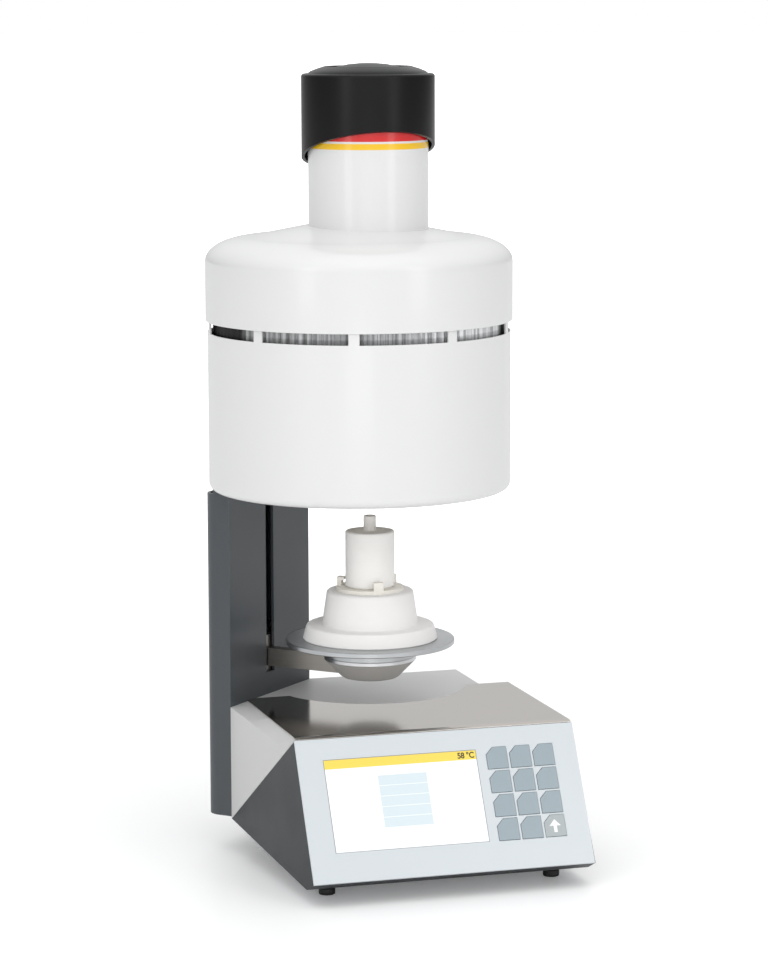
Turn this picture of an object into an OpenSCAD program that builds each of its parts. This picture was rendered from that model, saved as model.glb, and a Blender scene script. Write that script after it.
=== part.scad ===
// Dental lab press furnace with a lifting table.
// All lengths are in millimetres. Z is up, X runs to the right and Y runs to the rear.
// Modules are drawn with x = 0 at the middle of the front panel, y = 0 at its lower edge
// and z = 0 under the feet. place() then moves them to the middle of the whole outline.

/* [Front panel] */
// Length of the panel up its slope
panel_len = 140.8; // [136:0.1:146]
// Lean of the panel back from vertical
panel_tilt = 29.06; // [27:0.01:31]
// Thickness of the panel
panel_t = 3; // [2.6:0.1:3.4]
// Height of the panel's lower edge over the table top
sill_h = 23.8; // [22:0.1:26]
// Width of the display's visible area
disp_w = 152.4; // [146:0.1:156]
// Height of the display's visible area
disp_h = 91.44; // [88:0.01:95]
// Distance from the panel's left edge to the display
disp_x = 25; // [22:0.1:28]
// Distance from the panel's lower edge to the display and to the lowest keys
disp_y = 28.6; // [26:0.1:31]
// Depth of the display module behind the panel
disp_d = 9; // [7:0.1:12]
// Rim of the display module round the visible area
disp_rim = 6; // [5:0.1:6.5]
// Gap between the screen and its window
screen_gap = 0.15; // [0.1:0.01:0.25]

/* [Keys] */
// Distance from the display to the first key column
keys_x = 9.8; // [9:0.1:11]
// Distance from the last key column to the panel's right edge
key_edge = 23.9; // [22:0.1:26]
// Width of one key
key_w = 20.8; // [19.5:0.1:21.2]
// Height of one key
key_h = 21.3; // [20:0.1:21.6]
// Distance between key columns
key_pitch_x = 23.6; // [23.4:0.1:24.5]
// Distance between key rows
key_pitch_y = 23.7; // [23.7:0.1:24.6]
// Width of the cut-off key corner
key_cut = 7; // [4:0.1:8]
// Height of a key over the panel
key_proud = 0.6; // [0.55:0.01:0.9]
// Travel of a key
key_travel = 0.5; // [0.4:0.01:0.5]
// Gap round a key in its hole
key_gap = 0.35; // [0.3:0.01:0.4]
// Width of the flange that keeps a key behind the panel
key_flange = 0.7; // [0.5:0.01:0.8]
// Thickness of the key flange
key_flange_t = 1; // [0.8:0.1:1.4]
// Thickness of a circuit board
board_t = 1.6; // [1.2:0.1:2]

/* [Base] */
// Step out at each side from the panel to the foot of the base
base_out = 1.75; // [1.2:0.05:2.4]
// Distance from the panel's lower edge to the back of the base
base_back = 341; // [336:0.5:348]
// Height of the base's underside over the table top
floor_h = 13.6; // [12:0.1:15]
// Run of the sloping lip under the panel
lip_run = 22.1; // [18:0.1:26]
// Height of the steel deck over the panel's upper edge
deck_h = 2.32; // [2.2:0.01:2.6]
// Step in at each side from the panel to the steel deck
deck_in = 0.95; // [0.7:0.05:1.4]
// Thickness of the steel deck plate
deck_t = 1.2; // [1:0.1:1.4]
// Distance from the panel's lower edge to the back edge of the steel deck
deck_back = 259; // [254:0.5:264]
// Radius of the round cut in the deck's back edge
deck_cut_r = 99; // [92:0.5:104]
// Distance from the panel's lower edge to the centre of the round cut
deck_cut_y = 292.5; // [288:0.5:296]
// Wall of the base shells
shell_t = 2; // [1.6:0.1:2.4]
// Distance from the panel's lower edge to the front tip of the side facet
facet_y = 86.6; // [82:0.1:92]
// Step in from the deck's right edge to the rear housing's top
rear_right = 30; // [26:0.1:34]
// Step in from the base's right edge to the rear housing's foot
rear_low = 5.3; // [4.5:0.1:8]
// Thickness of the base plate
base_plate_t = 2; // [1.6:0.1:2.4]

/* [Feet] */
// Radius of a foot
foot_r = 8; // [7:0.1:9]
// Distance from the base's side to a front foot
foot_x = 28.3; // [24:0.1:32]
// Distance from the panel's lower edge to the front feet
foot_y = 52; // [46:0.5:58]
// Place of the left rear foot from the middle
foot_rear_x = -92; // [-96:0.5:-86]
// Distance from the panel's lower edge to the left rear foot
foot_rear_y = 272; // [266:0.5:275]
// Place of the right rear foot from the middle
foot_right_x = 84; // [78:0.5:90]
// Distance from the panel's lower edge to the right rear foot
foot_right_y = 318; // [312:0.5:324]

/* [Furnace axis] */
// Place of the firing table's axis from the middle
axis_x = -24.1; // [-26:0.1:-22]
// Distance from the panel's lower edge to the firing table's axis
axis_y = 205.8; // [203:0.1:208]
// Turn of the column and lift about the axis
turn = 45; // [43:0.5:47]

/* [Column] */
// Width of the column
col_w = 158; // [154:0.5:162]
// Depth of the column
col_d = 31; // [30:0.1:33]
// Corner radius at the back of the column
col_r = 15; // [12:0.5:15.5]
// Wall of the column
col_t = 3; // [2.6:0.1:3.2]
// Distance from the chamber insulation to the column's front face
col_dist = 13.6; // [12:0.1:15]
// Sideways shift of the column from the furnace axis
col_off = -2.5; // [-4:0.1:0]
// Length of the column below its lower screw bearing
col_low = 91; // [87:0.5:93]
// Height of the column's upper end over the head's rim
col_top = 105; // [99:0.5:111]
// Width of the slot for the lift arm
slot_w = 15.3; // [14.5:0.1:17]
// Depth of the slot's lower end below the lift arm
slot_low = 6.9; // [5:0.1:9]
// Depth of the slot's upper end below the head's rim
slot_top = 1; // [0.5:0.1:3]
// Width of the opening in the column's back
back_open_w = 100; // [90:1:104]
// Thickness of the column's back cover
back_t = 1.5; // [1.2:0.1:2]
// Border of the back cover round its opening
back_border = 8; // [6:0.5:10]

/* [Lift] */
// Travel of the firing table
lift_travel = 157; // [150:0.1:157]
// Width of the lift arm
arm_w = 12; // [10:0.1:13]
// Height of the lift arm
arm_h = 18.1; // [16:0.1:19]
// Depth of the lift arm's underside below the table's upper face
arm_low = 37.5; // [36:0.1:39]
// Distance of the lift screw behind the column's front face
screw_y = 17; // [16.8:0.1:17.4]
// Radius of the lift screw
screw_r = 5; // [4:0.1:5.4]
// Running clearance on a radius
run_gap = 0.08; // [0.05:0.01:0.1]
// Distance from the screw to each guide rail
rail_x = 40; // [36:0.5:43]
// Radius of a guide rail
rail_r = 4; // [3.5:0.1:5]
// Width of the carriage
carriage_w = 100; // [98:0.5:104]
// Height of the carriage
carriage_h = 56; // [52:0.5:58]
// Depth of the carriage
carriage_d = 17; // [16:0.1:17.5]
// Radius of the lift nut
nut_r = 7; // [6.5:0.1:7.4]
// Radius of the lift nut's flange
nut_flange_r = 10.4; // [9:0.1:10.5]
// Thickness of the lift nut's flange
nut_flange_t = 4; // [3:0.1:5]
// Width of the arm's foot inside the column
arm_foot_w = 44; // [40:0.5:50]
// Height of the arm's foot inside the column
arm_foot_h = 42; // [38:0.5:46]
// Thickness of the arm's foot
arm_foot_t = 5; // [4.5:0.1:5.2]
// Radius of an arm bolt
bolt_r = 2.5; // [2:0.1:3]
// Radius of an arm bolt's head
bolt_head_r = 4.3; // [3.8:0.1:4.6]
// Height of an arm bolt's head
bolt_head_h = 3; // [2.5:0.1:3.5]
// Length of an arm bolt
bolt_len = 16; // [12:0.5:18]
// Width of a screw bearing block
bearing_w = 120; // [110:1:124]
// Height of a screw bearing block
bearing_h = 14; // [12:0.5:16]
// Depth of the lower bearing block below the lift arm
bearing_low = 49.2; // [46:0.1:52]
// Height of the upper bearing block over the head's rim
bearing_top = 23; // [18:0.5:28]
// Radius of the lift motor
motor_r = 11; // [10:0.1:11.5]
// Length of the lift motor
motor_len = 52; // [48:0.5:54]
// Radius of the motor shaft
shaft_r = 3; // [2.5:0.1:3.5]
// Radius of the shaft coupling
coupling_r = 9; // [8:0.1:10]
// Length of the shaft coupling
coupling_len = 28; // [26:0.5:30]

/* [Table] */
// Radius of the table disk
disk_r = 83.65; // [80:0.1:84.5]
// Thickness of the table disk
disk_t = 4.9; // [4:0.1:5.5]
// Height of the table disk's upper face
disk_top = 214.7; // [213.5:0.1:214.7]
// Radius of the ring under the disk
hub_r = 46.8; // [46:0.1:50]
// Depth of the ring under the disk
hub_h = 12; // [11:0.1:12.5]
// Radius of the cone's polished rim
rim_r = 45.8; // [44:0.1:46]
// Height of the cone's polished rim
rim_h = 3.9; // [3:0.1:4.5]
// Radius of the cone's foot
cone_r = 24.5; // [23:0.1:26]
// Depth of the cone's foot below the table's upper face
cone_low = 39.5; // [38.5:0.1:40.5]
// Radius of the insulator's flange at its foot
flange_r = 66.7; // [64:0.1:67.5]
// Radius of the insulator's flange at its top
flange_top_r = 63.8; // [61:0.1:64.5]
// Height of the insulator's flange
flange_h = 14.5; // [13:0.1:16]
// Radius of the insulator's cone at its foot
plug_r = 47.5; // [46:0.1:49]
// Radius of the insulator's cone at its top
plug_top_r = 43.2; // [42:0.1:44.5]
// Height of the insulator's cone over its flange
plug_h = 34.2; // [32:0.1:35]
// Radius of the claw tray
tray_r = 33.6; // [32:0.1:35]
// Thickness of the claw tray
tray_t = 3.4; // [3:0.1:4]
// Height of the claws over the insulator
claw_h = 11.8; // [10:0.1:12.5]
// Width of a claw
claw_w = 10; // [8:0.1:11]
// Thickness of a claw
claw_t = 4.5; // [4:0.1:5]

/* [Muffle] */
// Radius of the muffle
muffle_r = 24.3; // [22:0.1:24.8]
// Height of the muffle
muffle_h = 54.5; // [50:0.1:55]
// Gap between the muffle and what it stands on
muffle_gap = 0.2; // [0.1:0.05:0.3]
// Height of the seat under the muffle
seat_h = 1.2; // [1:0.1:1.5]
// Radius of the plunger
plunger_r = 6.18; // [5.5:0.01:6.5]
// Height of the plunger over the muffle
plunger_proud = 15.1; // [12:0.1:15.1]
// Depth of the plunger in the muffle
plunger_depth = 30; // [24:0.5:34]
// Gap round the plunger in the muffle
plunger_gap = 0.1; // [0.08:0.01:0.3]
// Way that the muffle and the plunger each lift off
lift_off = 8; // [6:0.5:8]

/* [Head] */
// Shift of the head's centre from the furnace axis to the column
head_shift = 11; // [10:0.1:12]
// Radius of the lower jacket
jacket_r = 149; // [148.8:0.1:150]
// Wall of the jacket and of the cover
jacket_t = 1.5; // [1.2:0.1:1.8]
// Depth of the jacket's rim below the chamber seal
jacket_low = 7; // [6.8:0.1:7.2]
// Radius of the jacket's rounded lower edge
jacket_round = 8; // [6:0.1:8]
// Inner radius of the jacket's rim
jacket_in_r = 130; // [126:0.5:134]
// Depth of the vent slots' lower edge below the upper cover
vent_low = 10.9; // [8:0.1:14]
// Number of vent slots
vent_count = 9; // [8:1:9]
// Angle from one vent slot to the next
vent_pitch = 38.4; // [38:0.1:39]
// Angle of the web between two vent slots
vent_web = 4; // [3.5:0.1:5]
// Angle of the front vent slot's middle
vent_turn = 1.2; // [0:0.1:3]
// Outer radius of the upper cover
cover_r = 151; // [150.8:0.1:152]
// Height of the upper cover's lower edge over the jacket's rim
cover_low = 167.2; // [164:0.1:170]
// Height where the cover's shoulder starts, over its lower edge
shoulder_h = 57.8; // [54:0.1:62]
// Width of the cover's shoulder
shoulder_w = 45; // [40:0.5:50]
// Rise of the cover's shoulder
shoulder_rise = 24; // [21:0.5:26]
// Rise of the cover from its shoulder to the tower
crown_h = 9.5; // [8:0.1:12]
// Outer radius of the heat shield's flutes
shield_r = 143.5; // [142:0.1:143.9]
// Depth of the heat shield's flutes
shield_flute = 5; // [4:0.1:6]
// Number of the heat shield's flutes
flute_count = 100; // [90:2:110]
// Thickness of the heat shield's sheet
shield_t = 0.8; // [0.6:0.1:1]
// Height of the heat shield's floor over the jacket's rim
shield_low = 121; // [117:0.5:125]
// Thickness of the heat shield's floor
shield_floor_t = 3; // [2.6:0.1:3.4]
// Height of the heat shield's upper edge over the cover's lower edge
shield_top = 67.8; // [64:0.1:68]
// Radius of the base ring
ring_r = 140; // [137:0.5:140.5]
// Thickness of the base ring
ring_t = 3; // [2.6:0.1:3]
// Thickness of the head bracket
bracket_t = 4; // [3.5:0.1:5]
// Width of the head bracket
bracket_w = 100; // [90:1:110]
// Height of the head bracket's clamp band
band_h = 12; // [10:0.5:14]
// Thickness of the head bracket's clamp band
band_t = 3; // [2.5:0.1:3.5]
// Height of the head bracket's clamp band over its foot
band_up = 72; // [66:0.5:78]

/* [Chamber] */
// Outer radius of the chamber insulation
wool_r = 100; // [98:0.1:101]
// Height of the insulation over the firing chamber's ceiling
wool_top = 55; // [51:0.5:59]
// Radius of the firing chamber
chamber_r = 62; // [61:0.1:63]
// Height of the firing chamber's ceiling over the jacket's rim
ceiling_h = 140; // [138:0.5:143]
// Radius of the wide mouth of the chamber
mouth_r = 70; // [69:0.1:71]
// Height of the mouth over the seal
mouth_h = 17; // [15.5:0.1:18]
// Radius of the opening for the table disk
disk_open_r = 87; // [86:0.1:88]
// Thickness of the chamber seal
seal_t = 3; // [2.6:0.1:3.4]
// Gap between the raised table disk and the seal
seal_gap = 0.3; // [0.3:0.05:0.6]
// Inner radius of the chamber seal
seal_r = 72; // [71.5:0.1:73]
// Width of the chamber seal
seal_w = 10; // [8:0.1:10.5]
// Radius of the heating coil's turns
coil_r = 58; // [57.5:0.1:58.3]
// Radius of the heating coil's tube
coil_tube_r = 3.5; // [3:0.1:3.6]
// Number of turns of the heating coil
coil_turns = 8; // [6:1:8]
// Distance between two turns of the heating coil
coil_pitch = 11; // [10:0.1:11.5]
// Height of the lowest turn over the mouth
coil_up = 10; // [8:0.1:12]
// Radius of the thermocouple
probe_r = 2.5; // [2:0.1:3]
// Distance from the furnace axis to the thermocouple
probe_x = 38; // [36:0.5:42]
// Radius of the thermocouple's head
probe_head_r = 8; // [7:0.1:9]
// Height of the thermocouple's head
probe_head_h = 15; // [12:0.5:18]
// Depth of the thermocouple below the ceiling
probe_depth = 27; // [24:0.5:28]

/* [Tower] */
// Radius of the tower tube
tower_r = 58.7; // [57:0.1:60]
// Wall of the tower tube
tower_t = 2.5; // [2:0.1:3]
// Height of the tower tube's upper end over the press ram
tower_top = 15; // [13:0.5:16]
// Radius of the tower cap
cap_r = 65.1; // [64.8:0.1:67]
// Wall of the tower cap
cap_t = 3; // [2.6:0.1:3.2]
// Height of the cap's rim over the tower tube
cap_rim = 7; // [6:0.5:9]
// Height of the cap's peak over its rim
cap_peak = 10; // [8.5:0.5:12]
// Height of the cap's rim over the middle of its slanting lower edge
cap_edge = 75; // [70:0.5:80]
// Fall of the cap's slanting lower edge from the middle to the back
cap_fall = 21; // [18:0.5:23]
// Radius of the recess on the cap
recess_r = 41; // [38:0.5:44]
// Depth of the recess on the cap
recess_d = 2.5; // [2:0.1:3]

/* [Press] */
// Radius of the press ram
ram_r = 6; // [5.5:0.1:6.2]
// Height of the press ram's tip over the chamber's ceiling
ram_low = 10; // [8:0.5:12]
// Length of the press ram
ram_len = 235; // [230:0.5:238]
// Travel of the press ram
ram_travel = 50; // [44:0.5:50]
// Radius of the ram's collar
collar_r = 10; // [9:0.1:12]
// Thickness of the ram's collar
collar_t = 4; // [3:0.1:5]
// Radius of the press motor
press_r = 28; // [26:0.5:32]
// Height of the press motor's flange over the cover
press_low = 8.5; // [4.5:0.5:10.5]
// Thickness of the press motor's flange
press_flange_t = 4; // [3:0.1:5]
// Length of the press motor over its flange
press_len = 54; // [50:0.5:55]
// Radius of the ram's bush
bush_r = 12; // [11:0.1:14]
// Depth of the ram's bush in the insulation
bush_depth = 40; // [34:0.5:42]
// Radius of the bush's flange
bush_flange_r = 17; // [16:0.1:20]
// Thickness of the bush's flange
bush_flange_t = 4; // [3:0.1:5]

/* [Electronics] */
// Place of the control board's left edge from the middle
pcb_x = -95; // [-98:0.5:-90]
// Distance from the panel's lower edge to the control board
pcb_y = 95; // [90:0.5:100]
// Length of the control board
pcb_len = 130; // [120:0.5:132]
// Width of the control board
pcb_w = 100; // [90:0.5:110]
// Height of the control board over the base plate
pcb_up = 8; // [6:0.5:12]
// Distance from the control board's edges to its stand-offs
pcb_post_in = 6; // [5:0.5:8]
// Radius of a stand-off
pcb_post_r = 3; // [2.5:0.1:3.5]
// Side of the processor
chip_w = 30; // [26:0.5:34]
// Height of the processor
chip_h = 6; // [4:0.1:8]
// Side of the heat sink
sink_w = 18; // [16:0.5:20]
// Height of the heat sink
sink_h = 12; // [10:0.5:14]
// Width of the relay block
relay_w = 20; // [18:0.5:22]
// Length of the relay block
relay_len = 50; // [44:0.5:54]
// Height of the relay block
relay_h = 16; // [14:0.5:18]
// Border of the board round the parts on it
part_in = 15; // [12:0.5:16]
// Number of capacitors
cap_count = 4; // [3:1:5]
// Radius of a capacitor
capacitor_r = 6; // [5:0.1:7]
// Height of a capacitor
capacitor_h = 22; // [18:0.5:26]
// Distance between two capacitors
capacitor_pitch = 16; // [15:0.5:17]
// Place of the power supply's left side from the middle
supply_x = 40; // [38:0.5:44]
// Distance from the panel's lower edge to the power supply
supply_y = 175; // [170:0.5:180]
// Width of the power supply
supply_w = 70; // [64:0.5:74]
// Length of the power supply
supply_len = 120; // [110:0.5:130]
// Height of the power supply
supply_h = 40; // [34:0.5:46]
// Depth of the power supply's vents
supply_vent_d = 3; // [2:0.1:4]
// Width of a vent in the power supply
supply_vent_w = 3; // [2:0.1:4]
// Distance between two vents in the power supply
supply_vent_pitch = 6.5; // [6:0.1:7]
// Border round the power supply's vents
supply_vent_in = 20; // [16:0.5:24]

/* [Rear fittings] */
// Size of the fan frame
fan_size = 60; // [56:0.5:62]
// Depth of the fan frame
fan_d = 15; // [14:0.1:18]
// Place of the fan from the middle
fan_x = 20; // [14:0.5:26]
// Height of the fan's centre
fan_z = 100; // [98:0.5:104]
// Radius of the fan's bore
fan_bore_r = 28; // [26.5:0.1:28]
// Gap between the fan's blades and its bore
fan_gap = 1; // [0.8:0.1:1.5]
// Radius of the fan's hub
fan_hub_r = 12; // [10:0.1:14]
// Number of fan blades
blade_count = 7; // [5:1:9]
// Radius of the fan's axle
axle_r = 1.5; // [1.2:0.1:2]
// Place of the mains inlet from the middle
inlet_x = 84; // [80:0.5:88]
// Height of the mains inlet
inlet_z = 38; // [36:0.5:40]
// Width of the mains inlet's body
inlet_w = 27; // [25:0.1:29]
// Height of the mains inlet's body
inlet_h = 20; // [18:0.1:21]
// Height of the mains switch
switch_z = 72; // [70:0.5:76]
// Width of the mains switch's body
switch_w = 14; // [13:0.1:16]
// Height of the mains switch's body
switch_h = 24; // [22:0.1:26]
// Swing of the rocker
rocker_swing = 14; // [12:0.5:15]
// Place of the hose port from the middle
port_x = -24; // [-26:0.5:-20]
// Height of the hose port
port_z = 60; // [56:0.5:66]
// Radius of the hose port's stem
port_r = 4.5; // [4:0.1:5.5]
// Length of the hose port's stem
port_len = 18; // [14:0.5:19]
// Radius of the hose port's bore
port_bore_r = 2.5; // [2:0.1:3]

/* [Hidden] */
$fn = 96;
big = 900;
skin = 0.01;
panel_w = disp_x + disp_w + keys_x + 2 * key_pitch_x + key_w + key_edge;
deck_w = panel_w - 2 * deck_in;
base_w = panel_w + 2 * base_out;
rear_top_x = deck_w / 2 - rear_right;
rear_foot_x = base_w / 2 - rear_low;
foot_side = base_w / 2 - foot_x;
top_y = panel_len * sin(panel_tilt);
top_z = sill_h + panel_len * cos(panel_tilt);
deck_z = top_z + deck_h;
slot_dist = wool_r + col_dist;
roof_h = deck_z - deck_t;
arm_z = disk_top - arm_low;
cone_z = disk_top - cone_low;
slot_low_z = arm_z - slot_low;
bearing_low_z = arm_z - bearing_low;
col_z = bearing_low_z - col_low;
seal_z = disk_top + lift_travel + seal_gap;
jacket_z = seal_z - jacket_low;
slot_top_z = jacket_z - slot_top;
bearing_top_z = jacket_z + bearing_top;
col_top_z = jacket_z + col_top;
cover_z = jacket_z + cover_low;
vent_z = cover_z - vent_low;
shoulder_z = cover_z + shoulder_h;
crown_z = shoulder_z + shoulder_rise + crown_h;
shield_z = jacket_z + shield_low;
shield_top_z = cover_z + shield_top;
ceiling_z = jacket_z + ceiling_h;
wool_top_z = ceiling_z + wool_top;
press_z = crown_z + press_low;
ram_z = ceiling_z + ram_low;
tower_top_z = ram_z + ram_len + tower_top;
cap_rim_z = tower_top_z + cap_rim;
cap_peak_z = cap_rim_z + cap_peak;
cap_edge_z = cap_rim_z - cap_edge;
lip_angle = atan((sill_h - floor_h) / lip_run);
along = [cos(turn), sin(turn)];
behind = [-sin(turn), cos(turn)];
slot_at = [axis_x, axis_y] + col_off * along + slot_dist * behind;
corner = slot_at - col_w / 2 * along;
head_at = [axis_x, axis_y] + head_shift * behind;
deck_left_y = slot_at[1] - (slot_at[0] + deck_w / 2) * tan(turn);
front_top = [-panel_w / 2, top_y, top_z];
front_low = [-base_w / 2, lip_run, floor_h];
back_low = [corner[0], corner[1], seam_z(corner[1])];
under_low = [-deck_w / 2, corner[1], floor_h];
side_n = unit(cross(back_low - front_top, front_low - front_top));
under_n = unit(cross(back_low - front_low, under_low - front_low));
right_n = unit([top_z - floor_h, 0, (base_w - panel_w) / 2]);
notch_n = unit([roof_h - floor_h, 0, rear_foot_x - rear_top_x]);
seam_n = unit([0, top_z - floor_h, deck_back - top_y]);
facet_z = seam_z(facet_y);
facet_x = side_x(facet_y, facet_z);
strip_steps = 6;
left_reach = -(axis_x - head_shift * sin(turn)) + cover_r;
right_reach = base_w / 2;
rear_reach = axis_y + head_shift * cos(turn) + cover_r;
base_x = (left_reach - right_reach) / 2;
front_y = -rear_reach / 2;
arm_mid = arm_z + arm_h / 2;
carriage_low = arm_mid - carriage_h / 2;
carriage_y = screw_y - carriage_d / 2 + 0.5;
foot_front = carriage_y - arm_foot_t;
cone_top = disk_top - disk_t - hub_h;
flange_z = disk_top;
plug_z = flange_z + flange_h;
tray_z = plug_z + plug_h;
muffle_z = tray_z + tray_t + seat_h + muffle_gap;
plunger_z = muffle_z + muffle_h - plunger_depth;
mouth_z = seal_z + seal_t;
ring_z = jacket_z + jacket_t;
wool_low = ring_z + ring_t;
chamber_z = mouth_z + mouth_h;
col_trim_r = jacket_r - jacket_t - 2;
col_trim_z = jacket_z - 4;
col_clear = 0.5;
key_u0 = disp_x + disp_w + keys_x - panel_w / 2;
board_face = -(panel_t + 0.3 + key_flange_t + key_travel + 0.35 + 0.75);
keypad_low = disp_y - 7;
keypad_high = disp_y + 3 * key_pitch_y + key_h + 7;
keypad_left = disp_x - panel_w / 2 + disp_w + disp_rim + 0.8;
keypad_right = key_u0 + 2 * key_pitch_x + key_w + 4;
shelf_z = floor_h + base_plate_t;
back_in = base_back - shell_t;
cover_top_r = cover_r - shoulder_w;
cover_step = shoulder_z + shoulder_rise;
crown_slope = (crown_z - cover_step) / (cover_top_r - tower_r);

// Helpers

function unit(v) = v / norm(v);

// Height of the seam between the dark and the light shell at a given depth
function seam_z(y) = top_z - (y - top_y) * (top_z - floor_h) / (deck_back - top_y);

// Place of the dark side facet at a given depth and height
function side_x(y, z) =
    front_top[0] - ((y - front_top[1]) * side_n[1] + (z - front_top[2]) * side_n[2]) / side_n[0];

// Points on an arc, from angle a0 to a1 in n steps
function arc(cx, cy, rx, ry, a0, a1, n) =
    [for (i = [0 : n]) let (a = a0 + (a1 - a0) * i / n) [cx + rx * cos(a), cy + ry * sin(a)]];

module place() {
    translate([base_x, front_y, 0]) children();
}

module at_axis() {
    place() translate([axis_x, axis_y, 0]) rotate(turn) children();
}

module at_head() {
    place() translate([head_at[0], head_at[1], 0]) children();
}

module at_column() {
    place() translate([slot_at[0], slot_at[1], 0]) rotate(turn) children();
}

module at_panel() {
    translate([0, 0, sill_h]) rotate([90 - panel_tilt, 0, 0]) children();
}

// Everything beyond a plane through p with outward normal n, moved in by t
module beyond(p, n, t) {
    translate(p)
        rotate([0, acos(n[2]), atan2(n[1], n[0])])
        translate([-big, -big, -t])
        cube([2 * big, 2 * big, big]);
}

// Tube between two radii
module ring(r_out, r_in, h) {
    difference() {
        cylinder(r = r_out, h = h);
        translate([0, 0, -1]) cylinder(r = r_in, h = h + 2);
    }
}

// Base shells

// Cuts that the two shells share, moved in by t
module shared_cuts(t) {
    beyond([base_w / 2, 0, floor_h], right_n, t);
    beyond(front_low, under_n, t);
    beyond([slot_at[0], slot_at[1], 0], [behind[0], behind[1], 0], t);
    beyond([0, base_back, 0], [0, 1, 0], t);
    translate([0, 0, sill_h])
        rotate([-lip_angle, 0, 0])
        translate([-big, -big, t - big])
        cube([2 * big, 2 * big, big]);
}

// Sloping cut at the right behind the deck, moved in by t
module notch_cut(t) {
    intersection() {
        beyond([rear_top_x, 0, roof_h], notch_n, t);
        translate([-big, deck_back - t, -big]) cube([2 * big, big, 2 * big]);
    }
}

// Body of the dark lower shell, moved in by t and open at the front and below when t > 0
module lower_form(t) {
    z0 = t > 0 ? floor_h - 1 : floor_h;
    difference() {
        translate([-base_w, 0, z0]) cube([2 * base_w, base_back, roof_h - z0]);
        shared_cuts(t);
        beyond(front_top, side_n, t);
    }
}

// Strip between the roof and the left side facet, twisting from steep to level
module strip_form(t) {
    inner_a = [-deck_w / 2 + 1.5, facet_y - 2.4];
    inner_b = [-deck_w / 2, deck_left_y];
    outer_a = [facet_x, facet_y];
    outer_b = corner;
    steps = [for (i = [0 : strip_steps + 1]) i / strip_steps];
    front = [
        [front_top[0] + t, front_top[1], front_top[2] - t],
        [-deck_w / 2, top_y + 1, roof_h - t]
    ];
    rows = concat(
        [front],
        [for (s = steps)
            let (o = outer_a + s * (outer_b - outer_a), i = inner_a + s * (inner_b - inner_a))
            [[o[0] + t, o[1], min(roof_h, facet_z + s * (roof_h - facet_z)) - t],
             [i[0], i[1], roof_h - t]]]);
    points = [for (r = rows) each
        [[10 - deck_w / 2, r[1][1], roof_h - t], r[1], r[0],
         [r[0][0], r[0][1], 0], [10 - deck_w / 2, r[1][1], 0]]];
    n = len(rows);
    sides = [for (k = [0 : n - 2], j = [0 : 4]) each
        let (a = 5 * k + j, b = 5 * k + (j + 1) % 5)
        [[a, b, b + 5], [a, b + 5, a + 5]]];
    last = 5 * (n - 1);
    ends = [[0, 4, 3], [0, 3, 2], [0, 2, 1],
        [last, last + 1, last + 2], [last, last + 2, last + 3], [last, last + 3, last + 4]];
    polyhedron(points = points, faces = concat(sides, ends));
}

// Body of the light rear housing, moved in by t
module upper_form(t) {
    z0 = t > 0 ? floor_h - 1 : floor_h;
    difference() {
        union() {
            translate([5 - deck_w / 2, 0, z0]) cube([base_w, base_back, roof_h - t - z0]);
            strip_form(t);
        }
        translate([-base_w, -1, z0 - big]) cube([2 * base_w, 2 * base_back, big]);
        shared_cuts(t);
        notch_cut(t);
    }
}

module above_seam() {
    beyond(front_top, seam_n, 0);
}

module before_panel() {
    at_panel() translate([-big, -big, -panel_t]) cube([2 * big, 2 * big, big]);
}

module base_shell() {
    color("#3d4146") place()
        difference() {
            lower_form(0);
            lower_form(shell_t);
            above_seam();
            before_panel();
        }
}

module rear_housing() {
    color("#c3c5c7") place()
        difference() {
            intersection() {
                upper_form(0);
                above_seam();
            }
            upper_form(shell_t);
            before_panel();
            rear_openings();
        }
}

// Openings in the housing's back wall
module rear_openings() {
    for (i = [-3 : 3])
        translate([fan_x + 7 * i - 2, back_in - 1, fan_z - 22]) cube([4, shell_t + 2, 44]);
    translate([inlet_x - inlet_w / 2, back_in - 1, inlet_z - inlet_h / 2])
        cube([inlet_w, shell_t + 2, inlet_h]);
    translate([inlet_x - switch_w / 2, back_in - 1, switch_z - switch_h / 2])
        cube([switch_w, shell_t + 2, switch_h]);
    translate([port_x, back_in - 1, port_z]) rotate([-90, 0, 0])
        cylinder(r = port_r + 2, h = shell_t + 2);
}

module base_plate() {
    color("#8f9296") place()
        difference() {
            intersection() {
                lower_form(shell_t);
                translate([-big, 0, floor_h]) cube([2 * big, base_back, base_plate_t]);
            }
            notch_cut(shell_t);
        }
}

module rubber_feet() {
    color("#1b1b1c") place()
        for (p = [[-foot_side, foot_y], [foot_side, foot_y],
                  [foot_rear_x, foot_rear_y], [foot_right_x, foot_right_y]])
            translate([p[0], p[1], 0]) cylinder(r = foot_r, h = floor_h);
}

// Deck

module top_plate() {
    lip = [[top_y + 7.6, roof_h], [top_y + 7.6, deck_z], [top_y + 3.6, deck_z - 0.2],
        [top_y + 1.5, deck_z - 0.9], [top_y + 0.1, top_z + 0.3], [top_y + 1.1, top_z + 0.1],
        [top_y + 2.6, roof_h]];
    color("#b9b4ae") place()
        difference() {
            union() {
                translate([-deck_w / 2, top_y + 7.6 - skin, roof_h])
                    cube([deck_w, deck_back - top_y - 7.6, deck_t]);
                translate([-deck_w / 2, 0, 0])
                    rotate([90, 0, 90])
                    linear_extrude(height = deck_w)
                    polygon(lip);
            }
            beyond([slot_at[0], slot_at[1], 0], [behind[0], behind[1], 0], 0.3);
            translate([0, deck_cut_y, roof_h - 1]) cylinder(r = deck_cut_r, h = deck_t + 2);
        }
}

// Front panel, display and keys

module key_outline(grow) {
    c = key_cut - grow / 3;
    polygon([[-grow, -grow], [key_w + grow, -grow], [key_w + grow, key_h + grow],
        [c, key_h + grow], [-grow, key_h - c]]);
}

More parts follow.
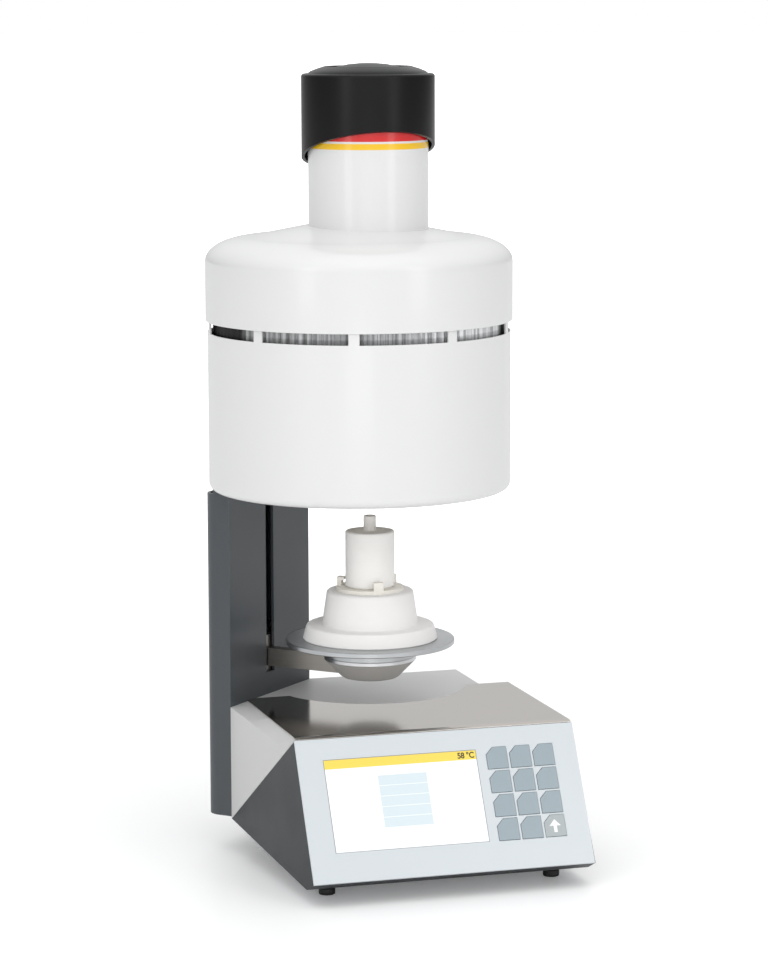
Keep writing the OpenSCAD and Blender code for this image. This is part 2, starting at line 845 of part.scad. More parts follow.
module at_key(col, row) {
    at_panel() translate([key_u0 + col * key_pitch_x, disp_y + (3 - row) * key_pitch_y, 0])
        children();
}

module front_panel() {
    color("#dfe5e9") place()
        difference() {
            at_panel() translate([-panel_w / 2, 0, -panel_t]) cube([panel_w, panel_len, panel_t]);
            at_panel() translate([disp_x - panel_w / 2, disp_y, -panel_t - 1])
                cube([disp_w, disp_h, panel_t + 2]);
            for (col = [0 : 2], row = [0 : 3])
                at_key(col, row) translate([0, 0, -panel_t - 1])
                    linear_extrude(height = panel_t + 2) key_outline(key_gap);
        }
}

module display_module() {
    color("#6d7074") place() at_panel()
        translate([disp_x - panel_w / 2 - disp_rim, disp_y - disp_rim, -panel_t - disp_d])
        cube([disp_w + 2 * disp_rim, disp_h + 2 * disp_rim, disp_d]);
}

module display_screen() {
    color("#f3f7fa") place() at_panel()
        translate([disp_x - panel_w / 2 + screen_gap, disp_y + screen_gap, -panel_t])
        cube([disp_w - 2 * screen_gap, disp_h - 2 * screen_gap, panel_t - 0.1]);
}

module key_cap(col, row, tint) {
    color(tint) place() at_key(col, row) {
        translate([0, 0, -panel_t - 0.3 - key_flange_t / 2])
            linear_extrude(height = panel_t + 0.3 + key_flange_t / 2 + key_proud) key_outline(0);
        translate([0, 0, -panel_t - 0.3 - key_flange_t])
            linear_extrude(height = key_flange_t) key_outline(key_gap + key_flange);
    }
}

module key_1() { key_cap(0, 0, "#a8b8c0"); }
module key_2() { key_cap(1, 0, "#a8b8c0"); }
module key_3() { key_cap(2, 0, "#a8b8c0"); }
module key_4() { key_cap(0, 1, "#a8b8c0"); }
module key_5() { key_cap(1, 1, "#a8b8c0"); }
module key_6() { key_cap(2, 1, "#a8b8c0"); }
module key_7() { key_cap(0, 2, "#a8b8c0"); }
module key_8() { key_cap(1, 2, "#a8b8c0"); }
module key_9() { key_cap(2, 2, "#a8b8c0"); }
module key_10() { key_cap(0, 3, "#a8b8c0"); }
module key_11() { key_cap(1, 3, "#a8b8c0"); }
module start_key() { key_cap(2, 3, "#bbc2c4"); }

module keypad_board() {
    color("#2f6b46") place() at_panel() {
        translate([keypad_left, keypad_low, board_face - board_t])
            cube([keypad_right - keypad_left, keypad_high - keypad_low, board_t]);
        for (col = [0 : 2], row = [0 : 3])
            translate([key_u0 + col * key_pitch_x + key_w / 2,
                disp_y + row * key_pitch_y + key_h / 2, board_face - skin])
                cylinder(r = 4, h = 0.75);
        for (x = [keypad_left + 2.5, keypad_right - 2.5], y = [keypad_low + 2.5, keypad_high - 2.5])
            translate([x, y, board_face - skin]) cylinder(r = 2, h = -panel_t - board_face + skin);
    }
}

// Electronics in the base

module control_board() {
    chip_x = part_in + 5;
    sink_x = chip_x + chip_w + part_in;
    color("#2f6b46") place() translate([pcb_x, pcb_y, shelf_z]) {
        for (x = [pcb_post_in, pcb_len - pcb_post_in], y = [pcb_post_in, pcb_w - pcb_post_in])
            translate([x, y, 0]) cylinder(r = pcb_post_r, h = pcb_up);
        translate([0, 0, pcb_up - skin]) cube([pcb_len, pcb_w, board_t]);
        translate([chip_x, pcb_w - part_in - chip_w, pcb_up]) cube([chip_w, chip_w, chip_h]);
        translate([sink_x, pcb_w - part_in - chip_w + 5, pcb_up]) cube([sink_w, sink_w, sink_h]);
        translate([pcb_len - part_in - relay_w, 2 * part_in, pcb_up])
            cube([relay_w, relay_len, relay_h]);
        for (i = [0 : cap_count - 1])
            translate([chip_x + 2 + capacitor_pitch * i, part_in + 5, pcb_up])
                cylinder(r = capacitor_r, h = capacitor_h);
    }
}

module power_supply() {
    count = floor((supply_w - 2 * supply_vent_pitch) / supply_vent_pitch);
    first = (supply_w - (count - 1) * supply_vent_pitch - supply_vent_w) / 2;
    color("#9a9da0") place() translate([supply_x, supply_y, shelf_z])
        difference() {
            cube([supply_w, supply_len, supply_h]);
            for (i = [0 : count - 1])
                translate([first + supply_vent_pitch * i, supply_vent_in, supply_h - supply_vent_d])
                    cube([supply_vent_w, supply_len - 2 * supply_vent_in, supply_vent_d + 1]);
        }
}

module at_fan() {
    translate([fan_x, back_in - fan_d, fan_z]) rotate([-90, 0, 0]) children();
}

module fan_frame() {
    color("#202224") place() at_fan() {
        difference() {
            translate([-fan_size / 2, -fan_size / 2, 0]) cube([fan_size, fan_size, fan_d]);
            translate([0, 0, -1]) cylinder(r = fan_bore_r, h = fan_d + 2);
            for (x = [-1, 1], y = [-1, 1])
                translate([x * (fan_size / 2 - 5), y * (fan_size / 2 - 5), -1])
                    cylinder(r = 2.2, h = fan_d + 2);
        }
        for (a = [45 : 90 : 315])
            rotate(a) translate([0, -1.5, fan_d - 2]) cube([fan_bore_r + 1, 3, 2]);
        translate([0, 0, fan_d - 2]) cylinder(r = fan_hub_r, h = 2);
        translate([0, 0, 3]) cylinder(r = axle_r, h = fan_d - 4);
    }
}

module fan_rotor() {
    tip = fan_bore_r - fan_gap;
    color("#2a2c2f") place() at_fan()
        difference() {
            union() {
                translate([0, 0, 1]) cylinder(r = fan_hub_r, h = fan_d - 3.6);
                intersection() {
                    translate([0, 0, 1]) cylinder(r = tip, h = fan_d - 3.6);
                    for (i = [0 : blade_count - 1])
                        rotate(i * 360 / blade_count)
                            translate([fan_hub_r - 1, 0, fan_d / 2 - 0.5])
                            rotate([38, 0, 0])
                            translate([0, -7, -0.8])
                            cube([tip, 14, 1.6]);
                }
            }
            translate([0, 0, 2.5]) cylinder(r = axle_r + run_gap, h = fan_d);
        }
}

module mains_inlet() {
    color("#1d1d1f") place() translate([inlet_x, base_back, inlet_z]) {
        difference() {
            union() {
                translate([-inlet_w / 2, -18, -inlet_h / 2]) cube([inlet_w, 18 + skin, inlet_h]);
                translate([-inlet_w / 2 - 10, 0, -inlet_h / 2 - 2])
                    cube([inlet_w + 20, 2.5, inlet_h + 4]);
            }
            translate([-inlet_w / 2 + 2, -14, -inlet_h / 2 + 2])
                cube([inlet_w - 4, 20, inlet_h - 4]);
        }
        for (p = [[-7, -1], [0, 3], [7, -1]])
            translate([p[0] - 1, -14 - skin, p[1] - 2]) cube([2, 12, 4]);
    }
}

module switch_housing() {
    color("#1d1d1f") place() translate([inlet_x, base_back, switch_z])
        difference() {
            union() {
                translate([-switch_w / 2, -18, -switch_h / 2]) cube([switch_w, 18 + skin, switch_h]);
                translate([-switch_w / 2 - 1.5, 0, -switch_h / 2 - 1.5])
                    cube([switch_w + 3, 1.8, switch_h + 3]);
            }
            translate([-switch_w / 2 + 1.5, -12, -switch_h / 2 + 1.5])
                cube([switch_w - 3, 20, switch_h - 3]);
        }
}

module switch_rocker() {
    w = switch_w - 3 - 0.8;
    r = (switch_h - 3) / 2 - 0.8;
    color("#b3261e") place() translate([inlet_x, base_back - 1, switch_z])
        rotate([-rocker_swing / 2, 0, 0])
        difference() {
            rotate([0, 90, 0]) translate([0, 0, -w / 2]) cylinder(r = r, h = w);
            translate([-w, 3.4, -2 * r]) cube([2 * w, 4 * r, 4 * r]);
            translate([-w, -4 * r - 4, -2 * r]) cube([2 * w, 4 * r, 4 * r]);
        }
}

module vacuum_port() {
    color("#b98f45") place() translate([port_x, back_in - 4, port_z]) rotate([-90, 0, 0])
        difference() {
            union() {
                cylinder(r = port_r + 5, h = 4, $fn = 6);
                cylinder(r = port_r + 2, h = 4 + shell_t);
                translate([0, 0, 4 + shell_t]) cylinder(r = port_r + 4, h = 3);
                translate([0, 0, 4 + shell_t]) cylinder(r = port_r, h = port_len);
            }
            translate([0, 0, -1]) cylinder(r = port_bore_r, h = port_len + shell_t + 10);
        }
}

// Column and lift drive

// Plan of the column, moved in by t
module column_form(t, h) {
    translate([-col_w / 2 + t, t, 0]) cube([col_w - 2 * t, col_d - col_r - t, h]);
    translate([-col_w / 2 + col_r, t, 0]) cube([col_w - 2 * col_r, col_d - 2 * t, h]);
    for (s = [-1, 1])
        translate([s * (col_w / 2 - col_r), col_d - col_r, 0]) cylinder(r = col_r - t, h = h);
}

// Everything inside the jacket that the column has to stay within
module head_bound(grow, z, h) {
    translate([head_at[0], head_at[1], z]) cylinder(r = col_trim_r + grow, h = h);
}

// Space that the column takes inside the head, with its clearance
module column_space() {
    intersection() {
        translate([slot_at[0], slot_at[1], col_trim_z - 1]) rotate(turn)
            column_form(-col_clear, col_top_z - col_trim_z);
        head_bound(col_clear, col_trim_z - 1, col_top_z);
    }
}

module column() {
    color("#45494e") place()
        difference() {
            translate([slot_at[0], slot_at[1], 0]) rotate(turn)
                difference() {
                    translate([0, 0, col_z]) column_form(0, col_top_z - col_z);
                    translate([0, 0, col_z + col_t]) column_form(col_t, col_top_z);
                    translate([-slot_w / 2, -1, slot_low_z])
                        cube([slot_w, col_t + 2, slot_top_z - slot_low_z]);
                    translate([-back_open_w / 2, col_d - col_t - 1, col_z + 23])
                        cube([back_open_w, col_t + 2, col_trim_z - col_z - 46]);
                }
            difference() {
                translate([-big, 0, col_trim_z]) cube([2 * big, big, col_top_z]);
                head_bound(0, col_trim_z - 1, col_top_z + 2);
            }
        }
}

module column_back() {
    h = col_trim_z - col_z - 46 + 2 * back_border;
    color("#3f4348") at_column()
        translate([-back_open_w / 2 - back_border, col_d, col_z + 23 - back_border])
        cube([back_open_w + 2 * back_border, back_t, h]);
}

module guide_rails() {
    color("#d5d7d9") at_column()
        for (s = [-1, 1])
            translate([s * rail_x, screw_y, bearing_low_z])
                cylinder(r = rail_r, h = bearing_top_z - bearing_low_z + bearing_h);
}

module screw_bearings() {
    color("#a7abaf") at_column()
        for (z = [bearing_low_z, bearing_top_z])
            translate([0, 0, z])
                difference() {
                    translate([-bearing_w / 2, col_t + 3, 0])
                        cube([bearing_w, col_d - 2 * col_t - 3, bearing_h]);
                    translate([0, screw_y, -1])
                        cylinder(r = screw_r + run_gap, h = bearing_h + 2);
                    for (s = [-1, 1])
                        translate([s * rail_x, screw_y, -1])
                            cylinder(r = rail_r, h = bearing_h + 2);
                }
}

module lift_motor() {
    color("#2c2e31") at_column() translate([0, screw_y, col_z + col_t]) {
        cylinder(r = motor_r, h = motor_len);
        translate([0, 0, motor_len - skin]) cylinder(r = shaft_r, h = 14);
    }
}

module motor_coupling() {
    z0 = col_z + col_t + motor_len + 3;
    color("#b4b7ba") at_column() translate([0, screw_y, z0])
        difference() {
            cylinder(r = coupling_r, h = coupling_len);
            translate([0, 0, -1]) cylinder(r = shaft_r + run_gap, h = 13);
            translate([0, 0, coupling_len / 2]) cylinder(r = screw_r, h = coupling_len);
        }
}

module lead_screw() {
    z0 = col_z + col_t + motor_len + 3 + coupling_len / 2;
    color("#c9cbcd") at_column() translate([0, screw_y, z0])
        cylinder(r = screw_r, h = bearing_top_z + bearing_h - 2 - z0);
}

module arm_bolt_places() {
    for (x = [-1, 1], z = [-1, 1])
        translate([x * (arm_foot_w / 2 - 6), foot_front, arm_mid + z * (arm_foot_h / 2 - 6.5)])
            rotate([-90, 0, 0]) children();
}

module carriage() {
    color("#9b9ea2") at_column()
        difference() {
            translate([-carriage_w / 2, carriage_y, carriage_low])
                cube([carriage_w, carriage_d, carriage_h]);
            translate([0, screw_y, carriage_low - 1]) cylinder(r = nut_r, h = carriage_h + 2);
            for (s = [-1, 1])
                translate([s * rail_x, screw_y, carriage_low - 1])
                    cylinder(r = rail_r + run_gap, h = carriage_h + 2);
            arm_bolt_places() cylinder(r = bolt_r, h = bolt_len);
        }
}

module screw_nut() {
    color("#c2a25a") at_column() translate([0, screw_y, carriage_low - nut_flange_t])
        difference() {
            union() {
                cylinder(r = nut_flange_r, h = nut_flange_t);
                cylinder(r = nut_r, h = nut_flange_t + carriage_h * 0.7);
            }
            translate([0, 0, -1]) cylinder(r = screw_r + run_gap, h = carriage_h + 10);
        }
}

module lift_arm() {
    color("#8b8478")
        difference() {
            at_column() {
                translate([-arm_w / 2, -slot_dist, arm_z])
                    cube([arm_w, slot_dist + foot_front + 1, arm_h]);
                difference() {
                    translate([-arm_foot_w / 2, foot_front, arm_mid - arm_foot_h / 2])
                        cube([arm_foot_w, arm_foot_t, arm_foot_h]);
                    arm_bolt_places() {
                        translate([0, 0, -1]) cylinder(r = bolt_head_r, h = bolt_head_h + 1.2);
                        cylinder(r = bolt_r, h = bolt_len);
                    }
                }
            }
            at_axis() cone_form();
            at_axis() translate([0, 0, cone_top]) cylinder(r = hub_r, h = hub_h + 5);
        }
}

module arm_bolts() {
    color("#77797c") at_column()
        arm_bolt_places() {
            translate([0, 0, 0.2]) cylinder(r = bolt_head_r, h = bolt_head_h);
            translate([0, 0, 0.2]) cylinder(r = bolt_r, h = bolt_len - 0.2);
        }
}

// Firing table

module cone_form() {
    rotate_extrude()
        polygon([[0, cone_z], [cone_r, cone_z], [cone_r + 2.6, cone_z + 0.7],
            [cone_r + 5.2, cone_z + 2.4], [rim_r - 0.2, cone_top - rim_h],
            [rim_r, cone_top - rim_h + 0.3], [rim_r, cone_top - 0.5],
            [rim_r - 0.5, cone_top], [0, cone_top]]);
}

module table_cone() {
    color("#8d8b87") at_axis() cone_form();
}

module table_disk() {
    color("#b7babc") at_axis() rotate_extrude()
        polygon([[0, cone_top], [hub_r - 0.4, cone_top], [hub_r, cone_top + 0.4],
            [hub_r, disk_top - disk_t], [disk_r - 0.6, disk_top - disk_t],
            [disk_r, disk_top - disk_t + 0.6], [disk_r, disk_top - 0.6],
            [disk_r - 0.6, disk_top], [0, disk_top]]);
}

module insulator() {
    r = 3;
    color("#eeedea") at_axis() rotate_extrude()
        polygon(concat(
            [[0, flange_z], [flange_r - 1, flange_z], [flange_r, flange_z + 1]],
            arc(flange_top_r - r, plug_z - r, r, r, 10, 90, 6),
            [[plug_r + 2, plug_z], [plug_r + 0.5, plug_z + 0.5], [plug_r, plug_z + 2]],
            arc(plug_top_r - r, tray_z - r, r, r, 5, 90, 6),
            [[0, tray_z]]));
}

module claw_tray() {
    up = claw_h - tray_t + skin;
    claw_angle = 2 * asin(claw_w / 2 / tray_r);
    color("#efe8d8") at_axis() {
        translate([0, 0, tray_z]) cylinder(r = tray_r, h = tray_t);
        translate([0, 0, tray_z]) cylinder(r = muffle_r - 2, h = tray_t + seat_h);
        for (a = [0, 120, 240])
            translate([0, 0, tray_z + tray_t - skin])
                rotate(a - 91 - turn - claw_angle / 2)
                rotate_extrude(angle = claw_angle)
                translate([tray_r - 0.4 - claw_t, 0])
                polygon([[0, 0], [claw_t, 0], [claw_t, up], [-2.5, up], [-2.5, up - 2.5],
                    [0, up - 3.5]]);
    }
}

module muffle() {
    color("#f1f0ec") at_axis() translate([0, 0, muffle_z])
        difference() {
            rotate_extrude()
                polygon([[0, 0], [muffle_r, 0], [muffle_r, muffle_h - 1],
                    [muffle_r - 1, muffle_h], [0, muffle_h]]);
            translate([0, 0, muffle_h - plunger_depth - 0.2])
                cylinder(r = plunger_r + plunger_gap, h = plunger_depth + 1);
        }
}

module plunger() {
    color("#d8d3c9") at_axis() translate([0, 0, plunger_z])
        rotate_extrude()
        polygon([[0, 0], [plunger_r, 0], [plunger_r, plunger_depth + plunger_proud - 0.8],
            [plunger_r - 0.8, plunger_depth + plunger_proud], [0, plunger_depth + plunger_proud]]);
}

// Head

module head_bracket() {
    color("#85898d") {
        at_column() {
            difference() {
                translate([-bracket_w / 2, -bracket_t, wool_low])
                    cube([bracket_w, bracket_t, col_top_z - wool_low]);
                translate([-slot_w / 2, -bracket_t - 1, wool_low - 1])
                    cube([slot_w, bracket_t + 2, 12]);
            }
        }
        difference() {
            at_column() translate([-20, wool_r - slot_dist - 6, wool_low + band_up])
                cube([40, slot_dist - wool_r + 6 - bracket_t + skin, band_h]);
            at_axis() cylinder(r = wool_r, h = big);
        }
        at_axis() translate([0, 0, wool_low + band_up]) ring(wool_r + band_t, wool_r, band_h);
    }
}

module base_ring() {
    color("#9da0a3")
        difference() {
            at_head() translate([0, 0, ring_z]) cylinder(r = ring_r, h = ring_t);
            at_axis() cylinder(r = disk_open_r, h = big);
            at_column() translate([-big, 0, ring_z - 1]) cube([2 * big, big, ring_t + 2]);
        }
}

module lower_jacket() {
    r0 = jacket_round;
    r1 = jacket_round - jacket_t;
    cx = jacket_r - jacket_round;
    cz = jacket_z + jacket_round;
    top = cover_z + 12;
    first = vent_turn - (vent_count - 1) / 2 * vent_pitch;
    color("#eceded") place()
        difference() {
            translate([head_at[0], head_at[1], 0])
                rotate_extrude()
                polygon(concat(
                    [[jacket_in_r, jacket_z + jacket_t], [jacket_in_r, jacket_z]],
                    arc(cx, cz, r0, r0, -90, 0, 10),
                    [[jacket_r, top], [jacket_r - jacket_t, top]],
                    arc(cx, cz, r1, r1, 0, -90, 10)));
            column_space();
            for (i = [0 : vent_count - 1])
                translate([head_at[0], head_at[1], vent_z])
                    rotate(first + i * vent_pitch - 90 - (vent_pitch - vent_web) / 2)
                    rotate_extrude(angle = vent_pitch - vent_web)
                    translate([jacket_r - jacket_t - 2, 0])
                    square([jacket_t + 4, cover_z - vent_z + 2]);
        }
}

module upper_cover() {
    t = jacket_t;
    out = arc(cover_top_r, shoulder_z, shoulder_w, shoulder_rise, 0, 90, 16);
    in = arc(cover_top_r, shoulder_z, shoulder_w - t, shoulder_rise - t, 90, 0, 16);
    inner = 30;
    rise = crown_slope * (cover_top_r - inner);
    color("#eff0f0")
        difference() {
            at_head() rotate_extrude()
                polygon(concat(
                    [[cover_r - t, cover_z], [cover_r - 0.5, cover_z], [cover_r, cover_z + 0.5]],
                    out,
                    [[inner, cover_step + rise], [inner, cover_step + rise - t]],
                    in));
            at_axis() cylinder(r = tower_r, h = big);
        }
}

module heat_shield() {
    n = flute_count * 2;
    zig = [for (i = [0 : n - 1]) let (r = i % 2 == 0 ? shield_r : shield_r - shield_flute)
        [r * cos(i * 360 / n), r * sin(i * 360 / n)]];
    zag = [for (i = [0 : n - 1])
        let (r = (i % 2 == 0 ? shield_r : shield_r - shield_flute) - shield_t * 1.6)
        [r * cos(i * 360 / n), r * sin(i * 360 / n)]];
    z0 = shield_z + shield_floor_t;
    color("#aeb2b6") {
        at_head() translate([0, 0, z0 - skin])
            linear_extrude(height = shield_top_z - z0)
            difference() {
                polygon(zig);
                polygon(zag);
            }
        difference() {
            at_head() translate([0, 0, shield_z]) cylinder(r = shield_r + 0.6, h = shield_floor_t);
            at_axis() cylinder(r = wool_r, h = big);
        }
    }
}

// Chamber

module chamber_insulation() {
    color("#e6e4de") at_axis()
        difference() {
            rotate_extrude()
                polygon([[0, ceiling_z], [chamber_r, ceiling_z], [chamber_r, chamber_z],
                    [mouth_r, chamber_z], [mouth_r, mouth_z], [disk_open_r + 1, mouth_z],
                    [disk_open_r + 1, wool_low], [wool_r, wool_low], [wool_r, wool_top_z],
                    [0, wool_top_z]]);
            translate([0, 0, ceiling_z - 1]) cylinder(r = ram_r + 1.5, h = big);
            translate([0, 0, wool_top_z - bush_depth]) cylinder(r = bush_r, h = big);
            translate([probe_x, 0, ceiling_z - 1]) cylinder(r = probe_r + 0.2, h = big);
        }
}

module heating_coil() {
    low = chamber_z + coil_up;
    color("#d9c9b8") at_axis() {
        for (i = [0 : coil_turns - 1])
            translate([0, 0, low + i * coil_pitch])
                rotate_extrude() translate([coil_r, 0]) circle(r = coil_tube_r, $fn = 32);
        intersection() {
            translate([-chamber_r - 1, -3, low]) cube([chamber_r - coil_r + 3, 6, ceiling_z - low]);
            cylinder(r = chamber_r, h = big);
        }
    }
}

module chamber_seal() {
    color("#d8d8d4") at_axis() translate([0, 0, seal_z]) ring(seal_r + seal_w, seal_r, seal_t);
}

module thermocouple() {
    color("#dcd8cf") at_axis() translate([probe_x, 0, 0]) {
        translate([0, 0, ceiling_z - probe_depth])
            cylinder(r = probe_r, h = wool_top_z - ceiling_z + probe_depth + 1);
        translate([0, 0, wool_top_z]) cylinder(r = probe_head_r, h = probe_head_h);
    }
}

// Tower and press

module tower_tube() {
    color("#efefef") at_axis() translate([0, 0, wool_top_z])
        ring(tower_r, tower_r - tower_t, tower_top_z - wool_top_z);
}

module tower_cap() {
    r_in = cap_r - cap_t;
    lift = cap_peak_z - 5 - recess_d;
    color("#202122")
        difference() {
            at_axis() rotate_extrude()
                polygon(concat(
                    [[r_in, cap_edge_z - 2 * cap_fall], [cap_r, cap_edge_z - 2 * cap_fall]],
                    arc(cap_r - 3, cap_rim_z - 3, 3, 3, 0, 90, 6),
                    [[cap_r - 4.5, cap_rim_z], [cap_r - 5, cap_rim_z - 0.8], [cap_r - 5.8, cap_rim_z - 0.2],
                     [cap_r - 9, cap_rim_z + 2.2], [cap_r - 15, cap_rim_z + 4.6],
                     [recess_r + 1, lift + 4.6], [recess_r, lift + 4.2], [recess_r, lift + 1.8],
                     [recess_r * 0.75, lift + 4], [recess_r * 0.45, cap_peak_z - 1.1],
                     [recess_r * 0.2, cap_peak_z - 0.2], [0, cap_peak_z],
                     [0, cap_rim_z - 1], [tower_r - tower_t - 3, cap_rim_z - 1],
                     [tower_r - tower_t - 3, tower_top_z], [r_in, tower_top_z]]));
            place() translate([axis_x, axis_y, cap_edge_z])
                rotate([-atan(cap_fall / cap_r), 0, 0])
                translate([-big, -big, -big])
                cube([2 * big, 2 * big, big]);
        }
}

module press_motor() {
    bore = ram_r + run_gap;
    color("#2b2d30") at_axis() translate([0, 0, press_z])
        difference() {
            union() {
                cylinder(r = tower_r - tower_t, h = press_flange_t);
                cylinder(r = press_r, h = press_flange_t + press_len);
            }
            translate([0, 0, -1]) cylinder(r = bore, h = press_len + press_flange_t + 2);
        }
}

module press_ram() {
    color("#cfcac0") at_axis() translate([0, 0, ram_z]) {
        cylinder(r = ram_r, h = ram_len);
        translate([0, 0, ram_len - collar_t - 4]) cylinder(r = collar_r, h = collar_t);
    }
}

module ram_bush() {
    color("#c8b98f") at_axis()
        difference() {
            union() {
                translate([0, 0, wool_top_z - bush_depth]) cylinder(r = bush_r, h = bush_depth + 1);
                translate([0, 0, wool_top_z]) cylinder(r = bush_flange_r, h = bush_flange_t);
            }
            translate([0, 0, wool_top_z - bush_depth - 1])
                cylinder(r = ram_r + run_gap, h = bush_depth + bush_flange_t + 2);
        }
}

base_shell();
base_plate();
rear_housing();
top_plate();
front_panel();
display_module();
display_screen();
keypad_board();
key_1();
key_2();
key_3();
key_4();
key_5();
key_6();
key_7();
key_8();
key_9();
key_10();
key_11();
start_key();
rubber_feet();
control_board();
power_supply();
fan_frame();
fan_rotor();
mains_inlet();
switch_housing();
switch_rocker();
vacuum_port();
column();
column_back();
guide_rails();
lead_screw();
screw_bearings();
lift_motor();
motor_coupling();
carriage();
screw_nut();
lift_arm();
arm_bolts();
table_cone();
table_disk();
insulator();
claw_tray();
muffle();
plunger();
head_bracket();
base_ring();
lower_jacket();
upper_cover();
heat_shield();
chamber_insulation();
heating_coil();
chamber_seal();
thermocouple();
tower_tube();
tower_cap();
press_motor();
press_ram();
ram_bush();
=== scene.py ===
from math import cos, pi, radians, sin

import bmesh
import bpy
from bpy.props import FloatProperty, FloatVectorProperty, IntProperty, PointerProperty
from mathutils import Matrix, Vector


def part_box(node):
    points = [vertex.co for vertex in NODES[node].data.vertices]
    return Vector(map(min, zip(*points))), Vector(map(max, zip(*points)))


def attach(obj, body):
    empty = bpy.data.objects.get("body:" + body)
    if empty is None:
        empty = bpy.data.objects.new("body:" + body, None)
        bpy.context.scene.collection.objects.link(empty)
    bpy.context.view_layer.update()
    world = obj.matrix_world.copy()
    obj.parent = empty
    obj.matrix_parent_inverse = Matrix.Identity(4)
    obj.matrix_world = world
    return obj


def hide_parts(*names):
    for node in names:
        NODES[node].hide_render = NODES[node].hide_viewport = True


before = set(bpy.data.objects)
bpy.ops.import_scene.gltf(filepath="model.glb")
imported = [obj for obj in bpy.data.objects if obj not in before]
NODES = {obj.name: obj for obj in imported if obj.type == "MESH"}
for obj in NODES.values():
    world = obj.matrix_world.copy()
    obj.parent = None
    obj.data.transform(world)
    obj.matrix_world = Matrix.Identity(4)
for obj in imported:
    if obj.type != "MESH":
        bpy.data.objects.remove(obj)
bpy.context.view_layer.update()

bl_info = {
    "name": "Dental Lab Furnace",
    "version": (1, 0, 0),
    "blender": (4, 5, 0),
    "location": "3D View > Sidebar > Furnace",
    "description": "Finishes, small pieces and a studio for a dental lab furnace",
    "category": "Object",
}


def middle_of(name):
    low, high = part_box(name)
    return (low + high) / 2


# Places read from the frame: the table's axis, the head's centre and the panel's foot
TABLE_LOW, TABLE_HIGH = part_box("table_disk")
AXIS = middle_of("table_disk")
COVER_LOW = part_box("upper_cover")[0]
HEAD = middle_of("upper_cover")
PANEL_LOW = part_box("front_panel")[0]
JACKET_LOW, JACKET_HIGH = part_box("lower_jacket")


# Places of housing screws: right and up on the rear face, right and back under the base plate
REAR_SCREWS = ((-0.018, 0.026), (-0.018, 0.132), (0.118, 0.132), (0.140, 0.022), (0.050, 0.026))
FLOOR_SCREWS = ((-0.10, -0.14), (0.14, -0.14), (-0.09, -0.02), (0.145, 0.0), (-0.02, 0.10), (0.12, 0.13))
FAN_SCREW = 0.025
INLET_SCREW = 0.0185
COLUMN_SCREW_INSET = 0.0042
JACKET_SCREW_UP = 0.018
COVER_SCREW_UP = 0.014
# The cover is that much wider than the jacket, and a screw's head sits in the paint
COVER_STEP = 0.002
SCREW_SINK = 0.0002
# Parts of the column cover's height, and turns round the head in degrees
COLUMN_SCREWS = (0.014, 0.34, 0.66, 0.986)
JACKET_SCREWS = (18, 58, 98)
COVER_SCREWS = (18, 58)

# Softness of a printed edge, thickness of printed ink, and how far a print stands off its ground
PRINT_EDGE = 0.00012
INK = 0.00004
OFF_GROUND = 0.00001
# Height of a figure as a share of the type's size, and how far its strokes are made bolder
FIGURE_SHARE = 0.69
FIGURE_BOLD = 0.00022
# Facets closer than this are joined
WELD = 0.000004
# Radius of the studio floor, and of its inner part
FLOOR_R = 60.0
FLOOR_INNER = 2.0


def colour_prop(name, words, value):
    return FloatVectorProperty(name=name, description=words, default=value, size=3,
                               min=0.0, max=1.0, subtype="COLOR")


def length_prop(name, words, value):
    return FloatProperty(name=name, description=words, default=value, subtype="DISTANCE",
                         unit="LENGTH", precision=5)


def angle_prop(name, words, degrees):
    return FloatProperty(name=name, description=words, default=radians(degrees), subtype="ANGLE",
                         unit="ROTATION")


def power_prop(name, words, watts):
    return FloatProperty(name=name, description=words, default=watts, unit="POWER")


def plain_prop(name, words, value):
    return FloatProperty(name=name, description=words, default=value)


